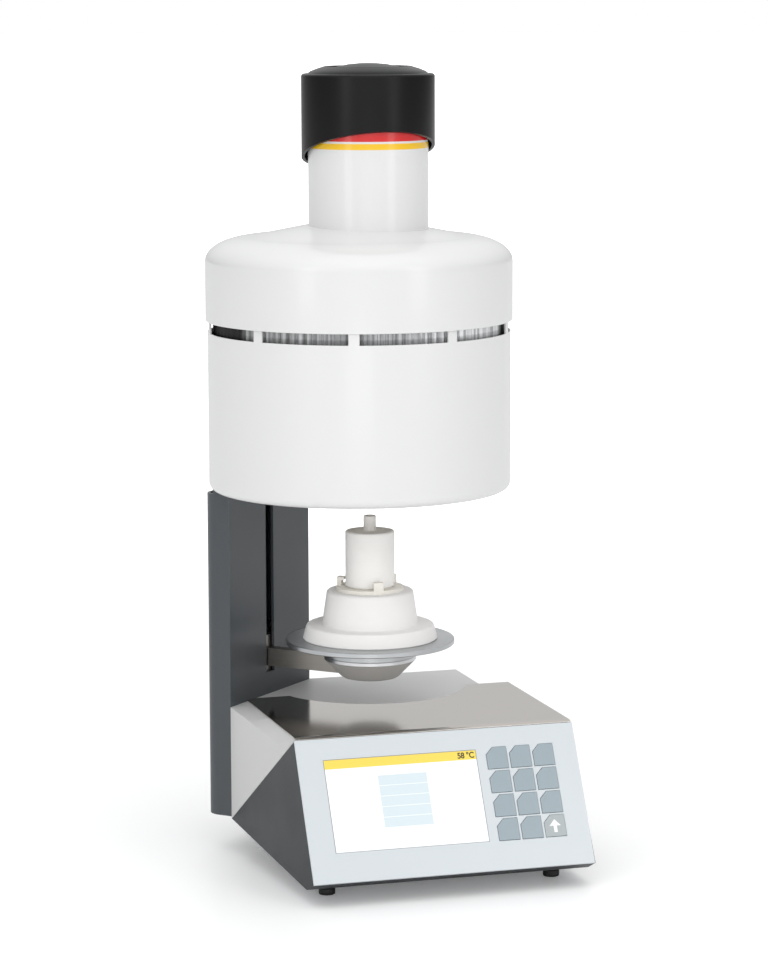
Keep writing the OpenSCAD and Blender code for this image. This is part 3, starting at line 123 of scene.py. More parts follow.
class FurnaceColours(bpy.types.PropertyGroup):
    """Colours of the furnace's finishes"""

    white_paint: colour_prop("White paint", "Head and tower", (0.755, 0.755, 0.75))
    # The lower shell and the lift column carry one paint: the shell's darker copy is painted shade, the
    # column's lighter copy painted light
    anthracite_shaded: colour_prop("Anthracite paint", "Lower shell", (0.0255, 0.030, 0.0335))
    column_paint_lit: colour_prop("Column paint", "Lift column", (0.062, 0.071, 0.079))
    light_grey: colour_prop("Light grey paint", "Rear housing", (0.62, 0.62, 0.615))
    deck_steel: colour_prop("Deck steel", "Brushed top plate", (0.475, 0.445, 0.415))
    panel_film: colour_prop("Panel film", "Front panel", (0.61, 0.65, 0.675))
    key_film: colour_prop("Key film", "Keypad keys", (0.30, 0.365, 0.40))
    start_film: colour_prop("Start key film", "Start key", (0.385, 0.425, 0.435))
    screen_white: colour_prop("Screen white", "Screen ground", (0.96, 0.98, 0.99))
    screen_yellow: colour_prop("Screen yellow", "Header bar of the screen", (0.88, 0.67, 0.085))
    screen_blue: colour_prop("Screen blue", "Menu bars of the screen", (0.66, 0.755, 0.80))
    screen_shadow_line: colour_prop("Screen shadow line", "Thin shadow line round the screen", (0.20, 0.21, 0.22))
    digit_ink: colour_prop("Digit ink", "Temperature reading", (0.04, 0.035, 0.01))
    band_yellow: colour_prop("Yellow band", "Thin band on the tower", (0.92, 0.55, 0.005))
    band_red: colour_prop("Red band", "Band under the cap", (0.72, 0.008, 0.010))
    fibre: colour_prop("Fibre", "Insulator", (0.915, 0.90, 0.885))
    tray: colour_prop("Tray ceramic", "Claw tray", (0.94, 0.91, 0.84))
    muffle: colour_prop("Muffle", "Side of the muffle", (0.97, 0.955, 0.93))
    muffle_top: colour_prop("Muffle top", "Upper face of the muffle", (0.96, 0.925, 0.885))
    plunger: colour_prop("Plunger", "Plunger", (0.97, 0.945, 0.91))
    aluminium: colour_prop("Aluminium", "Table disk", (0.52, 0.535, 0.545))
    cone: colour_prop("Cone", "Bead-blasted cone", (0.60, 0.59, 0.57))
    arm: colour_prop("Lift arm", "Ground steel of the lift arm", (0.33, 0.31, 0.285))
    floor: colour_prop("Floor", "Studio floor", (0.93, 0.93, 0.93))


class FurnaceSizes(bpy.types.PropertyGroup):
    """Sizes of the furnace's small pieces and patterns"""

    slope: angle_prop("Panel slope", "Slope of the front panel", 60.94)
    panel_t: length_prop("Panel thickness", "Thickness of the front panel", 0.003)
    screen_low: length_prop("Screen foot", "Lower edge of the screen up the panel", 0.0286)
    screen_high: length_prop("Screen top", "Upper edge of the screen up the panel", 0.12004)
    screen_shadow_line: length_prop("Screen shadow line", "Width of the shadow line round the screen", 0.0004)
    header_h: length_prop("Header height", "Height of the screen's header bar", 0.0095)
    menu_left: length_prop("Menu left", "Left end of the menu bars from the panel's edge", 0.0765)
    menu_right: length_prop("Menu right", "Right end of the menu bars", 0.1250)
    menu_low: length_prop("Menu foot", "Lower edge of the lowest menu bar", 0.0500)
    menu_pitch: length_prop("Menu pitch", "Distance between menu bars", 0.01035)
    menu_gap: length_prop("Menu gap", "White line between menu bars", 0.00045)
    reading_right: length_prop("Reading right", "Right end of the temperature reading", 0.1752)
    reading_low: length_prop("Reading foot", "Foot of the temperature reading", 0.1123)
    reading_h: length_prop("Reading height", "Height of the temperature reading", 0.0056)
    arrow_x: length_prop("Arrow place", "Middle of the arrow from the panel's edge", 0.2448)
    arrow_low: length_prop("Arrow foot", "Foot of the arrow up the panel", 0.0326)
    arrow_h: length_prop("Arrow height", "Height of the arrow", 0.0128)
    arrow_w: length_prop("Arrow width", "Width of the arrow's head", 0.0116)
    arrow_shaft: length_prop("Arrow shaft", "Width of the arrow's shaft", 0.0034)
    key_proud: length_prop("Key height", "Height of a key over the panel", 0.0006)
    yellow_low: length_prop("Yellow band foot", "Height of the yellow band's lower edge", 0.7003)
    yellow_high: length_prop("Yellow band top", "Height of the yellow band's upper edge", 0.7061)
    red_low: length_prop("Red band foot", "Height of the red band's lower edge", 0.7081)
    screw_r: length_prop("Screw head", "Radius of a housing screw's head", 0.0028)
    screw_h: length_prop("Screw head height", "Height of a housing screw's head", 0.0013)
    foot_apart: length_prop("Feet apart", "Distance that tells one foot from the next", 0.02)
    foot_groove: length_prop("Foot groove", "Depth of the groove round a foot", 0.0012)
    groove_low: length_prop("Groove foot", "Lower edge of the groove round a foot", 0.0062)
    groove_high: length_prop("Groove top", "Upper edge of the groove round a foot", 0.0074)
    foot_round: length_prop("Foot rounding", "Rounding of a foot's lower edge", 0.0014)
    thread: length_prop("Thread pitch", "Pitch of the lift screw's thread", 0.0025)
    # The shield's turn aims the painted light and painted shade on the heat shield
    shield_turn: angle_prop("Shield turn", "Direction of the heat shield's side with painted light", 16.53)
    flutes: IntProperty(name="Flutes", description="Flutes of the heat shield", default=100)


class FurnaceStudio(bpy.types.PropertyGroup):
    """Camera and lights"""

    camera_at: FloatVectorProperty(name="Camera", description="Place of the camera", size=3,
                                   default=(-0.92581, -3.13499, 0.8544), subtype="TRANSLATION",
                                   unit="LENGTH")
    camera_turn: angle_prop("Camera turn", "Turn of the view to the right", 16.53)
    camera_pitch: angle_prop("Camera pitch", "Fall of the view", 8.325)
    camera_roll: angle_prop("Camera roll", "Roll of the view", -0.20)
    focal_px: plain_prop("Focal length in pixels", "Focal length in the 768 by 960 picture", 3367.0)
    picture_h: plain_prop("Picture height", "Long side of the picture in pixels", 960.0)
    sky: plain_prop("Surround", "Strength of the white surround at the sides", 0.03)
    sky_front: plain_prop("Front surround", "Strength added in front", 0.78)
    sky_back: plain_prop("Back surround", "Strength added behind", 0.50)
    sky_top: plain_prop("Upper surround", "Strength added above", 1.20)
    floor_glow: plain_prop("Floor glow", "Light of the floor itself", 0.12)
    glow_from: length_prop("Glow from", "Distance where the floor starts to turn whiter", 0.9)
    glow_full: length_prop("Glow full", "Distance where the floor is fully white", 3.0)
    strips: power_prop("Strip lights", "Power of the tall strip lights", 8.0)
    front: power_prop("Front light", "Power of the low light in front", 1.6)
    top: power_prop("Top light", "Power of the light above", 5.0)


def colours():
    return bpy.context.scene.furnace_colours


def sizes():
    return bpy.context.scene.furnace_sizes


def studio():
    return bpy.context.scene.furnace_studio


# Building shader trees

def put(tree, kind, label="", **values):
    """Adds one node, sets its properties and returns it"""
    node = tree.nodes.new(kind)
    if label:
        node.label = label
        node.name = label
    for key, value in values.items():
        setattr(node, key, value)
    return node


def feed(tree, value, socket):
    """Links an output to a socket, or sets a plain value on it"""
    if isinstance(value, bpy.types.NodeSocket):
        tree.links.new(value, socket)
    else:
        socket.default_value = value


def sums(tree, operation, first, second=0.0, third=None, clamp=False, label=""):
    """A math node and its result"""
    node = put(tree, "ShaderNodeMath", label, operation=operation, use_clamp=clamp)
    feed(tree, first, node.inputs[0])
    feed(tree, second, node.inputs[1])
    if third is not None:
        feed(tree, third, node.inputs[2])
    return node.outputs[0]


def times(tree, first, second, **more):
    return sums(tree, "MULTIPLY", first, second, **more)


def plus(tree, first, second, **more):
    return sums(tree, "ADD", first, second, **more)


def scaled(tree, value, factor, offset):
    """value * factor + offset"""
    return sums(tree, "MULTIPLY_ADD", value, factor, offset)


def centred(tree, value):
    return sums(tree, "SUBTRACT", value, 0.5)


def vector_sums(tree, operation, first, second):
    """A vector math node and its result, a number where the operation gives one"""
    node = put(tree, "ShaderNodeVectorMath", operation=operation)
    feed(tree, first, node.inputs[0])
    feed(tree, second, node.inputs[1])
    return node.outputs["Value"] if operation in {"LENGTH", "DOT_PRODUCT"} else node.outputs[0]


def spread(tree, value, low, high, to_low=0.0, to_high=1.0, label=""):
    """Maps a value from one range to another"""
    node = put(tree, "ShaderNodeMapRange", label)
    feed(tree, value, node.inputs["Value"])
    for key, amount in (("From Min", low), ("From Max", high), ("To Min", to_low), ("To Max", to_high)):
        feed(tree, amount, node.inputs[key])
    return node.outputs["Result"]


def blend_colours(tree, mask, first, second, how="MIX", label=""):
    node = put(tree, "ShaderNodeMix", label, data_type="RGBA", blend_type=how)
    feed(tree, mask, node.inputs[0])
    feed(tree, first if isinstance(first, bpy.types.NodeSocket) else (*first, 1.0), node.inputs[6])
    feed(tree, second if isinstance(second, bpy.types.NodeSocket) else (*second, 1.0), node.inputs[7])
    return node.outputs[2]


def shade_colour(tree, tint, shade):
    """A colour made lighter or darker by a shade value round one"""
    grey = put(tree, "ShaderNodeCombineColor")
    for socket in grey.inputs:
        feed(tree, shade, socket)
    return blend_colours(tree, 1.0, tint, grey.outputs[0], "MULTIPLY")


def own_place(tree):
    """The point on the piece, in metres"""
    return put(tree, "ShaderNodeTexCoord", "Own place").outputs["Object"]


def noise(tree, scale, detail=2.0, rough=0.5, label="", vector=None):
    """Noise at the point on the piece, or at another vector"""
    node = put(tree, "ShaderNodeTexNoise", label)
    for key, value in (("Vector", own_place(tree) if vector is None else vector), ("Scale", scale),
                       ("Detail", detail), ("Roughness", rough)):
        feed(tree, value, node.inputs[key])
    return node.outputs[0]


def parts_of(tree, vector):
    """The three parts of a vector"""
    node = put(tree, "ShaderNodeSeparateXYZ")
    feed(tree, vector, node.inputs[0])
    return node.outputs


def streaks(tree, along, detail=2.0, label=""):
    """Noise along one direction"""
    node = put(tree, "ShaderNodeTexNoise", label, noise_dimensions="1D")
    for key, amount in (("W", along), ("Scale", 1.0), ("Detail", detail)):
        feed(tree, amount, node.inputs[key])
    return node.outputs[0]


def new_group(name, inputs, outputs):
    """An empty shader group with named sockets, and its two ends"""
    tree = bpy.data.node_groups.new(name, "ShaderNodeTree")
    for label, kind, value in inputs:
        socket = tree.interface.new_socket(name=label, in_out="INPUT", socket_type=kind)
        socket.default_value = value
    for label, kind in outputs:
        tree.interface.new_socket(name=label, in_out="OUTPUT", socket_type=kind)
    return tree, put(tree, "NodeGroupInput").outputs, put(tree, "NodeGroupOutput").inputs


def use_group(tree, name, **values):
    """Places a shared group and sets its inputs by name"""
    node = put(tree, "ShaderNodeGroup", name, node_tree=bpy.data.node_groups[name])
    for key, value in values.items():
        feed(tree, value, node.inputs[key.replace("_", " ").title()])
    return node.outputs


def deliver(tree, give, **values):
    """Feeds a group's outputs by name"""
    for key, value in values.items():
        feed(tree, value, give[key])


FLOAT, VECTOR = "NodeSocketFloat", "NodeSocketVector"


def group_paint_grain():
    """Height, unevenness and wide patches of sprayed paint"""
    tree, have, give = new_group(
        "Paint Grain", [("Grain Size", FLOAT, 0.0014), ("Unevenness", FLOAT, 0.04)],
        [("Height", FLOAT), ("Shade", FLOAT), ("Patches", FLOAT)])
    fine = noise(tree, sums(tree, "DIVIDE", 1.0, have["Grain Size"]), 2.0, 0.55, "Grain")
    finer = noise(tree, sums(tree, "DIVIDE", 2.6, have["Grain Size"]), 1.0, 0.5, "Fine grain")
    height = plus(tree, times(tree, fine, 0.7), times(tree, finer, 0.3))
    wide = noise(tree, 9.0, 3.0, 0.6, "Patches")
    mixed = plus(tree, times(tree, wide, 0.65), times(tree, finer, 0.35))
    shade = scaled(tree, centred(tree, mixed), times(tree, have["Unevenness"], 2.0), 1.0)
    deliver(tree, give, Height=height, Patches=wide, Shade=shade)


def group_brushed_lines():
    """Fine lines along one direction, with smears"""
    tree, have, give = new_group(
        "Brushed Lines", [("Stretch", VECTOR, (12.0, 2600.0, 2600.0)), ("Contrast", FLOAT, 0.1)],
        [("Height", FLOAT), ("Shade", FLOAT), ("Roughness", FLOAT)])
    stretched = vector_sums(tree, "MULTIPLY", own_place(tree), have["Stretch"])
    lines = noise(tree, 1.0, 3.0, 0.6, "Lines", stretched)
    smears = noise(tree, 14.0, 3.0, 0.55, "Smears")
    rough = plus(tree, times(tree, centred(tree, lines), 0.12), times(tree, centred(tree, smears), 0.05))
    shade = scaled(tree, centred(tree, lines), have["Contrast"], 1.0)
    deliver(tree, give, Height=lines, Shade=shade, Roughness=rough)


def group_turned_rings():
    """Fine rings round an upright axis, and the distance from it"""
    tree, have, give = new_group(
        "Turned Rings",
        [("Centre", VECTOR, (0.0, 0.0, 0.0)), ("Ring Size", FLOAT, 0.0005), ("Contrast", FLOAT, 0.1)],
        [("Height", FLOAT), ("Shade", FLOAT), ("Radius", FLOAT)])
    from_centre = vector_sums(tree, "SUBTRACT", own_place(tree), have["Centre"])
    flat = vector_sums(tree, "MULTIPLY", from_centre, (1.0, 1.0, 0.0))
    radius = vector_sums(tree, "LENGTH", flat, (0.0, 0.0, 0.0))
    outward = plus(tree, radius, parts_of(tree, from_centre)[2])
    rings = streaks(tree, sums(tree, "DIVIDE", outward, have["Ring Size"]), 3.0, "Rings")
    shade = scaled(tree, centred(tree, rings), have["Contrast"], 1.0)
    deliver(tree, give, Height=rings, Shade=shade, Radius=radius)


def group_edge_wear_and_highlight():
    """Worn places along edges, which also serve as a painted edge highlight"""
    tree, have, give = new_group(
        "Edge Wear And Highlight", [("Width", FLOAT, 0.0008), ("Amount", FLOAT, 0.5)], [("Mask", FLOAT)])
    rounded = put(tree, "ShaderNodeBevel", "Rounded edge", samples=4)
    feed(tree, have["Width"], rounded.inputs["Radius"])
    straight = put(tree, "ShaderNodeNewGeometry", "True normal")
    same = vector_sums(tree, "DOT_PRODUCT", rounded.outputs[0], straight.outputs["Normal"])
    edge = spread(tree, same, 0.985, 0.90, label="Edge")
    broken = spread(tree, noise(tree, 420.0, 3.0, 0.6, "Break up"), 0.38, 0.62, 0.25, 1.0)
    deliver(tree, give, Mask=times(tree, times(tree, edge, broken), have["Amount"], clamp=True))


def group_settled_dust():
    """Dust on faces that look up"""
    tree, have, give = new_group(
        "Settled Dust", [("Amount", FLOAT, 0.1), ("Patch Size", FLOAT, 0.02)], [("Mask", FLOAT)])
    facing = parts_of(tree, put(tree, "ShaderNodeTexCoord", "Own normal").outputs["Normal"])
    upward = spread(tree, facing[2], 0.55, 0.98, label="Upward faces")
    patches = spread(tree, noise(tree, sums(tree, "DIVIDE", 1.0, have["Patch Size"]), 4.0, 0.65),
                     0.4, 0.72, 0.15, 1.0, "Dust patches")
    deliver(tree, give, Mask=times(tree, times(tree, upward, patches), have["Amount"], clamp=True))


def group_fibre_pores():
    """Pores and felt of pressed fibre or fired ceramic"""
    tree, have, give = new_group(
        "Fibre Pores", [("Pore Size", FLOAT, 0.0016), ("Contrast", FLOAT, 0.06)],
        [("Height", FLOAT), ("Shade", FLOAT)])
    pores = put(tree, "ShaderNodeTexVoronoi", "Pores")
    feed(tree, own_place(tree), pores.inputs["Vector"])
    feed(tree, sums(tree, "DIVIDE", 1.0, have["Pore Size"]), pores.inputs["Scale"])
    pits = spread(tree, pores.outputs["Distance"], 0.05, 0.42, label="Pits")
    felt = noise(tree, sums(tree, "DIVIDE", 0.45, have["Pore Size"]), 5.0, 0.62, "Felt")
    height = plus(tree, times(tree, pits, 0.35), times(tree, felt, 0.65))
    soft = noise(tree, 38.0, 4.0, 0.6, "Handling marks")
    mixed = plus(tree, times(tree, felt, 0.4), times(tree, soft, 0.6))
    shade = scaled(tree, centred(tree, mixed), times(tree, have["Contrast"], 2.0), 1.0)
    deliver(tree, give, Height=height, Shade=shade)


def make_groups():
    """Builds the effects that the finishes share"""
    group_paint_grain()
    group_brushed_lines()
    group_turned_rings()
    group_edge_wear_and_highlight()
    group_settled_dust()
    group_fibre_pores()


def new_finish(name, rough=0.5, metal=0.0, coat=0.0, coat_rough=0.1, specular=0.5):
    """A material with its tree and Principled shader, even values set on the shader itself"""
    finish = bpy.data.materials.new(name)
    finish.use_nodes = True
    tree = finish.node_tree
    shader = tree.nodes["Principled BSDF"]
    shader.inputs["Roughness"].default_value = rough
    shader.inputs["Metallic"].default_value = metal
    shader.inputs["Coat Weight"].default_value = coat
    shader.inputs["Coat Roughness"].default_value = coat_rough
    shader.inputs["Specular IOR Level"].default_value = specular
    return finish, tree, shader


def emboss(tree, shader, height, depth):
    """Feeds a height through a bump to the shader's normal"""
    bump = put(tree, "ShaderNodeBump", "Relief")
    bump.inputs["Distance"].default_value = depth
    bump.inputs["Strength"].default_value = 1.0
    feed(tree, height, bump.inputs["Height"])
    feed(tree, bump.outputs["Normal"], shader.inputs["Normal"])


def cover(tree, shader, colour, rough=None, height=None, depth=0.0):
    """Feeds a finish's colour, roughness and relief to its shader"""
    feed(tree, colour, shader.inputs["Base Color"])
    if rough is not None:
        feed(tree, rough, shader.inputs["Roughness"])
    if height is not None:
        emboss(tree, shader, height, depth)


def powder_coat(name, tint, grain, depth, rough, coat=0.0, worn_and_highlit=(0.3, 0.3, 0.3), wear_and_highlight=0.3, dust=0.05,
                uneven=0.03, gloss=0.05, specular=0.5):
    """Powder paint with orange peel, slightly lighter edges that are partly abraded paint and partly a
    painted highlight, and a little dust
    """
    finish, tree, shader = new_finish(name, rough, coat=coat, coat_rough=0.12, specular=specular)
    paint = use_group(tree, "Paint Grain", grain_size=grain, unevenness=uneven)
    edge = use_group(tree, "Edge Wear And Highlight", width=0.0007, amount=wear_and_highlight)["Mask"]
    film = use_group(tree, "Settled Dust", amount=dust, patch_size=0.03)["Mask"]
    shaded = shade_colour(tree, tint, paint["Shade"])
    # The lighter colour along the edges is partly abraded paint and partly a painted edge highlight
    shaded = blend_colours(tree, edge, shaded, worn_and_highlit, label="Worn and highlit edge")
    shaded = blend_colours(tree, film, shaded, (0.62, 0.60, 0.57), label="Dust")
    uneven_rough = spread(tree, paint["Patches"], 0.3, 0.7, rough - gloss, rough + gloss, "Gloss")
    rough = plus(tree, uneven_rough, times(tree, film, 0.3))
    cover(tree, shader, shaded, rough, paint["Height"], depth)
    return finish


def white_paint():
    return powder_coat("white_powder_coat", colours().white_paint, 0.0021, 0.00006, 0.31, 0.35,
                       worn_and_highlit=(0.88, 0.88, 0.88), wear_and_highlight=0.25, dust=0.0, uneven=0.008, gloss=0.015)


# Darker copy of the column's paint, as painted shade on the lower shell
def anthracite_paint():
    return powder_coat("anthracite_powder_coat_shaded", colours().anthracite_shaded, 0.0013, 0.00010, 0.42, 0.0,
                       worn_and_highlit=(0.16, 0.175, 0.19), wear_and_highlight=0.45, dust=0.03, uneven=0.10, specular=0.35)


# Lighter copy of the shell's paint, as painted light on the column
def column_paint_lit():
    return powder_coat("column_powder_coat_lit", colours().column_paint_lit, 0.0013, 0.00012, 0.36, 0.0,
                       worn_and_highlit=(0.19, 0.205, 0.22), wear_and_highlight=0.6, dust=0.03, uneven=0.12, specular=0.5)


def light_grey_paint():
    return powder_coat("light_grey_powder_coat", colours().light_grey, 0.0014, 0.00006, 0.46, 0.0,
                       worn_and_highlit=(0.66, 0.66, 0.66), wear_and_highlight=0.35, dust=0.06, uneven=0.03)


def tower_paint():
    """White paint with a thin yellow band and a red band round the tower"""
    finish, tree, shader = new_finish("tower_banded_paint", 0.24, coat=0.4, coat_rough=0.1)
    paint = use_group(tree, "Paint Grain", grain_size=0.0021, unevenness=0.02)
    up = parts_of(tree, own_place(tree))[2]
    size = sizes()
    tint = colours().white_paint
    for height, above, label in ((size.yellow_low, colours().band_yellow, "Yellow foot"),
                                 (size.yellow_high, colours().white_paint, "Yellow top"),
                                 (size.red_low, colours().band_red, "Red foot")):
        passed = spread(tree, up, height - PRINT_EDGE, height + PRINT_EDGE, label=label)
        tint = blend_colours(tree, passed, tint, above)
    colour = shade_colour(tree, tint, paint["Shade"])
    rough = spread(tree, paint["Patches"], 0.3, 0.7, 0.29, 0.32)
    cover(tree, shader, colour, rough, paint["Height"], 0.00006)
    return finish


def deck_steel():
    """Stainless sheet brushed from side to side, with smears and a folded lip made brighter by polish and
    by a painted highlight
    """
    finish, tree, shader = new_finish("brushed_stainless_deck", 0.12, 1.0)
    lines = use_group(tree, "Brushed Lines", stretch=(6.0, 2600.0, 2600.0), contrast=0.16)
    edge = use_group(tree, "Edge Wear And Highlight", width=0.0009, amount=0.8)["Mask"]
    film = use_group(tree, "Settled Dust", amount=0.015, patch_size=0.05)["Mask"]
    shaded = shade_colour(tree, colours().deck_steel, lines["Shade"])
    # The brighter colour along the edges is partly polish and partly a painted edge highlight
    colour = blend_colours(tree, edge, shaded, (0.86, 0.84, 0.82), label="Polished and highlit edge")
    rough = plus(tree, plus(tree, lines["Roughness"], 0.12), film)
    cover(tree, shader, colour, rough, lines["Height"], 0.00001)
    return finish


def metal(name, tint, rough, stretch, contrast=0.15, wear_and_highlight=0.4, polished=(0.8, 0.8, 0.8)):
    """Bare metal with drawn or ground lines, and brighter edges that are partly polish and partly a
    painted highlight
    """
    finish, tree, shader = new_finish(name, rough, 1.0)
    lines = use_group(tree, "Brushed Lines", stretch=stretch, contrast=contrast)
    edge = use_group(tree, "Edge Wear And Highlight", width=0.0006, amount=wear_and_highlight)["Mask"]
    shaded = shade_colour(tree, tint, lines["Shade"])
    # The brighter colour along the edges is partly polish and partly a painted edge highlight
    colour = blend_colours(tree, edge, shaded, polished)
    rough = plus(tree, lines["Roughness"], rough, clamp=True)
    cover(tree, shader, colour, rough, lines["Height"], 0.00002)
    return finish


def turned_aluminium():
    """Satin aluminium with turning marks and a polished edge"""
    finish, tree, shader = new_finish("turned_aluminium", 0.3, 1.0)
    centre = (AXIS.x, AXIS.y, TABLE_HIGH.z)
    rings = use_group(tree, "Turned Rings", centre=centre, ring_size=0.0006, contrast=0.12)
    rim = (TABLE_HIGH.x - TABLE_LOW.x) / 2
    facing = parts_of(tree, put(tree, "ShaderNodeTexCoord").outputs["Normal"])
    upward = spread(tree, facing[2], 0.2, 0.8, label="Upper face")
    edge = spread(tree, rings["Radius"], rim - 0.0012, rim - 0.0004, 1.0, 0.0, "Inside the rim")
    satin = times(tree, upward, edge, label="Satin face")
    stains = noise(tree, 30.0, 4.0, 0.6, "Heat haze")
    tint = shade_colour(tree, colours().aluminium, rings["Shade"])
    tint = blend_colours(tree, times(tree, satin, spread(tree, stains, 0.4, 0.7, 0.1, 0.5)),
                         tint, (0.40, 0.41, 0.415), label="Dulled face")
    cover(tree, shader, tint, scaled(tree, satin, 0.10, 0.32), rings["Height"], 0.000004)
    return finish


def blasted_cone():
    """Grey bead-blasted cone with a polished rim"""
    finish, tree, shader = new_finish("blasted_cone", 0.5, 0.25)
    grain = use_group(tree, "Paint Grain", grain_size=0.0009, unevenness=0.10)
    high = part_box("table_cone")[1]
    up = parts_of(tree, own_place(tree))[2]
    rim = spread(tree, up, high.z - 0.0043, high.z - 0.0039, label="Polished rim")
    tint = shade_colour(tree, colours().cone, grain["Shade"])
    colour = blend_colours(tree, rim, tint, (0.72, 0.73, 0.74))
    feed(tree, scaled(tree, rim, 0.75, 0.25), shader.inputs["Metallic"])
    cover(tree, shader, colour, scaled(tree, rim, -0.19, 0.52), grain["Height"], 0.00003)
    return finish


def ceramic(name, tint, pore, depth, rough, contrast=0.05, stained=0.10):
    """Fired ceramic or pressed fibre with pores and soft stained marks"""
    finish, tree, shader = new_finish(name, rough, specular=0.25)
    body = use_group(tree, "Fibre Pores", pore_size=pore, contrast=contrast)
    marks = spread(tree, noise(tree, 55.0, 5.0, 0.65, "Firing marks"), 0.56, 0.78, 0.0, stained)
    tone = shade_colour(tree, tint, body["Shade"])
    colour = blend_colours(tree, marks, tone, (0.62, 0.55, 0.46), label="Stain")
    rough = scaled(tree, centred(tree, body["Height"]), 0.2, rough)
    cover(tree, shader, colour, rough, body["Height"], depth)
    return finish


def muffle_ceramic():
    """Investment body: pale sides with faint cast rings, and a dusky upper face"""
    finish, tree, shader = new_finish("muffle_investment", 0.85, specular=0.2)
    body = use_group(tree, "Fibre Pores", pore_size=0.0011, contrast=0.06)
    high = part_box("muffle")[1]
    up = parts_of(tree, own_place(tree))[2]
    top = spread(tree, up, high.z - 0.0007, high.z - 0.0001, label="Upper face")
    rings = streaks(tree, times(tree, up, 260.0), label="Cast rings")
    relief = plus(tree, body["Height"], times(tree, rings, 1.6))
    side = shade_colour(tree, colours().muffle, body["Shade"])
    lid = shade_colour(tree, colours().muffle_top, body["Shade"])
    colour = blend_colours(tree, top, side, lid)
    rough = spread(tree, body["Height"], 0.3, 0.7, 0.78, 0.92)
    cover(tree, shader, colour, rough, relief, 0.00014)
    return finish


def plastic(name, tint, rough, grain=0.0009, depth=0.00003, coat=0.0, wear_and_highlight=0.25,
            edge_tint=(0.2, 0.2, 0.2), specular=0.5, dust=0.05):
    """Moulded plastic with a fine texture, and rubbed edges that are partly scuffing and partly a painted
    highlight
    """
    finish, tree, shader = new_finish(name, rough, coat=coat, specular=specular)
    skin = use_group(tree, "Paint Grain", grain_size=grain, unevenness=0.08)
    edge = use_group(tree, "Edge Wear And Highlight", width=0.0007, amount=wear_and_highlight)["Mask"]
    film = use_group(tree, "Settled Dust", amount=dust, patch_size=0.02)["Mask"]
    # The edge colour is partly scuffing and partly a painted edge highlight
    tone = blend_colours(tree, edge, shade_colour(tree, tint, skin["Shade"]), edge_tint)
    colour = blend_colours(tree, film, tone, (0.3, 0.3, 0.3))
    rough = spread(tree, skin["Patches"], 0.3, 0.7, rough - 0.05, rough + 0.05)
    cover(tree, shader, colour, rough, skin["Height"], depth)
    return finish


def panel_corner():
    """Left end of the panel's lower edge, on its outer face"""
    size = sizes()
    return Vector((PANEL_LOW.x, PANEL_LOW.y, PANEL_LOW.z + size.panel_t * cos(size.slope)))


def on_panel(right, up, out):
    """Matrix of a place on the panel: from its left edge, up its slope and out from its face"""
    turn = Matrix.Rotation(sizes().slope, 4, "X")
    return Matrix.Translation(panel_corner()) @ turn @ Matrix.Translation((right, up, out))


def panel_place(tree):
    """Place on the panel: right from its left edge, up its slope, out from its face"""
    turned = put(tree, "ShaderNodeMapping", "On the panel", vector_type="TEXTURE")
    feed(tree, own_place(tree), turned.inputs["Vector"])
    turned.inputs["Location"].default_value = panel_corner()
    turned.inputs["Rotation"].default_value = (sizes().slope, 0.0, 0.0)
    return parts_of(tree, turned.outputs[0])


def film(name, tint, rough, lift=0.0):
    """Printed film: even colour with a fine satin texture, faint wipe marks and a pale cut edge"""
    finish, tree, shader = new_finish(name, rough, coat=0.25, coat_rough=0.18)
    place = panel_place(tree)
    skin = use_group(tree, "Paint Grain", grain_size=0.0007, unevenness=0.018)
    edge = spread(tree, place[2], -0.0004 + lift, -0.0001 + lift, 1.0, 0.0, "Cut edge")
    wipe = noise(tree, 22.0, 4.0, 0.6, "Wipe marks")
    pale = tuple(min(1.0, part * 1.12 + 0.04) for part in tint)
    colour = blend_colours(tree, edge, shade_colour(tree, tint, skin["Shade"]), pale)
    rough = spread(tree, wipe, 0.3, 0.7, rough - 0.05, rough + 0.05)
    cover(tree, shader, colour, rough, skin["Height"], 0.000012)
    return finish


def between(tree, value, low, high, soft=PRINT_EDGE):
    """One between two limits and nothing outside them"""
    rise = spread(tree, value, low - soft, low + soft)
    fall = spread(tree, value, high - soft, high + soft, 1.0, 0.0)
    return times(tree, rise, fall)


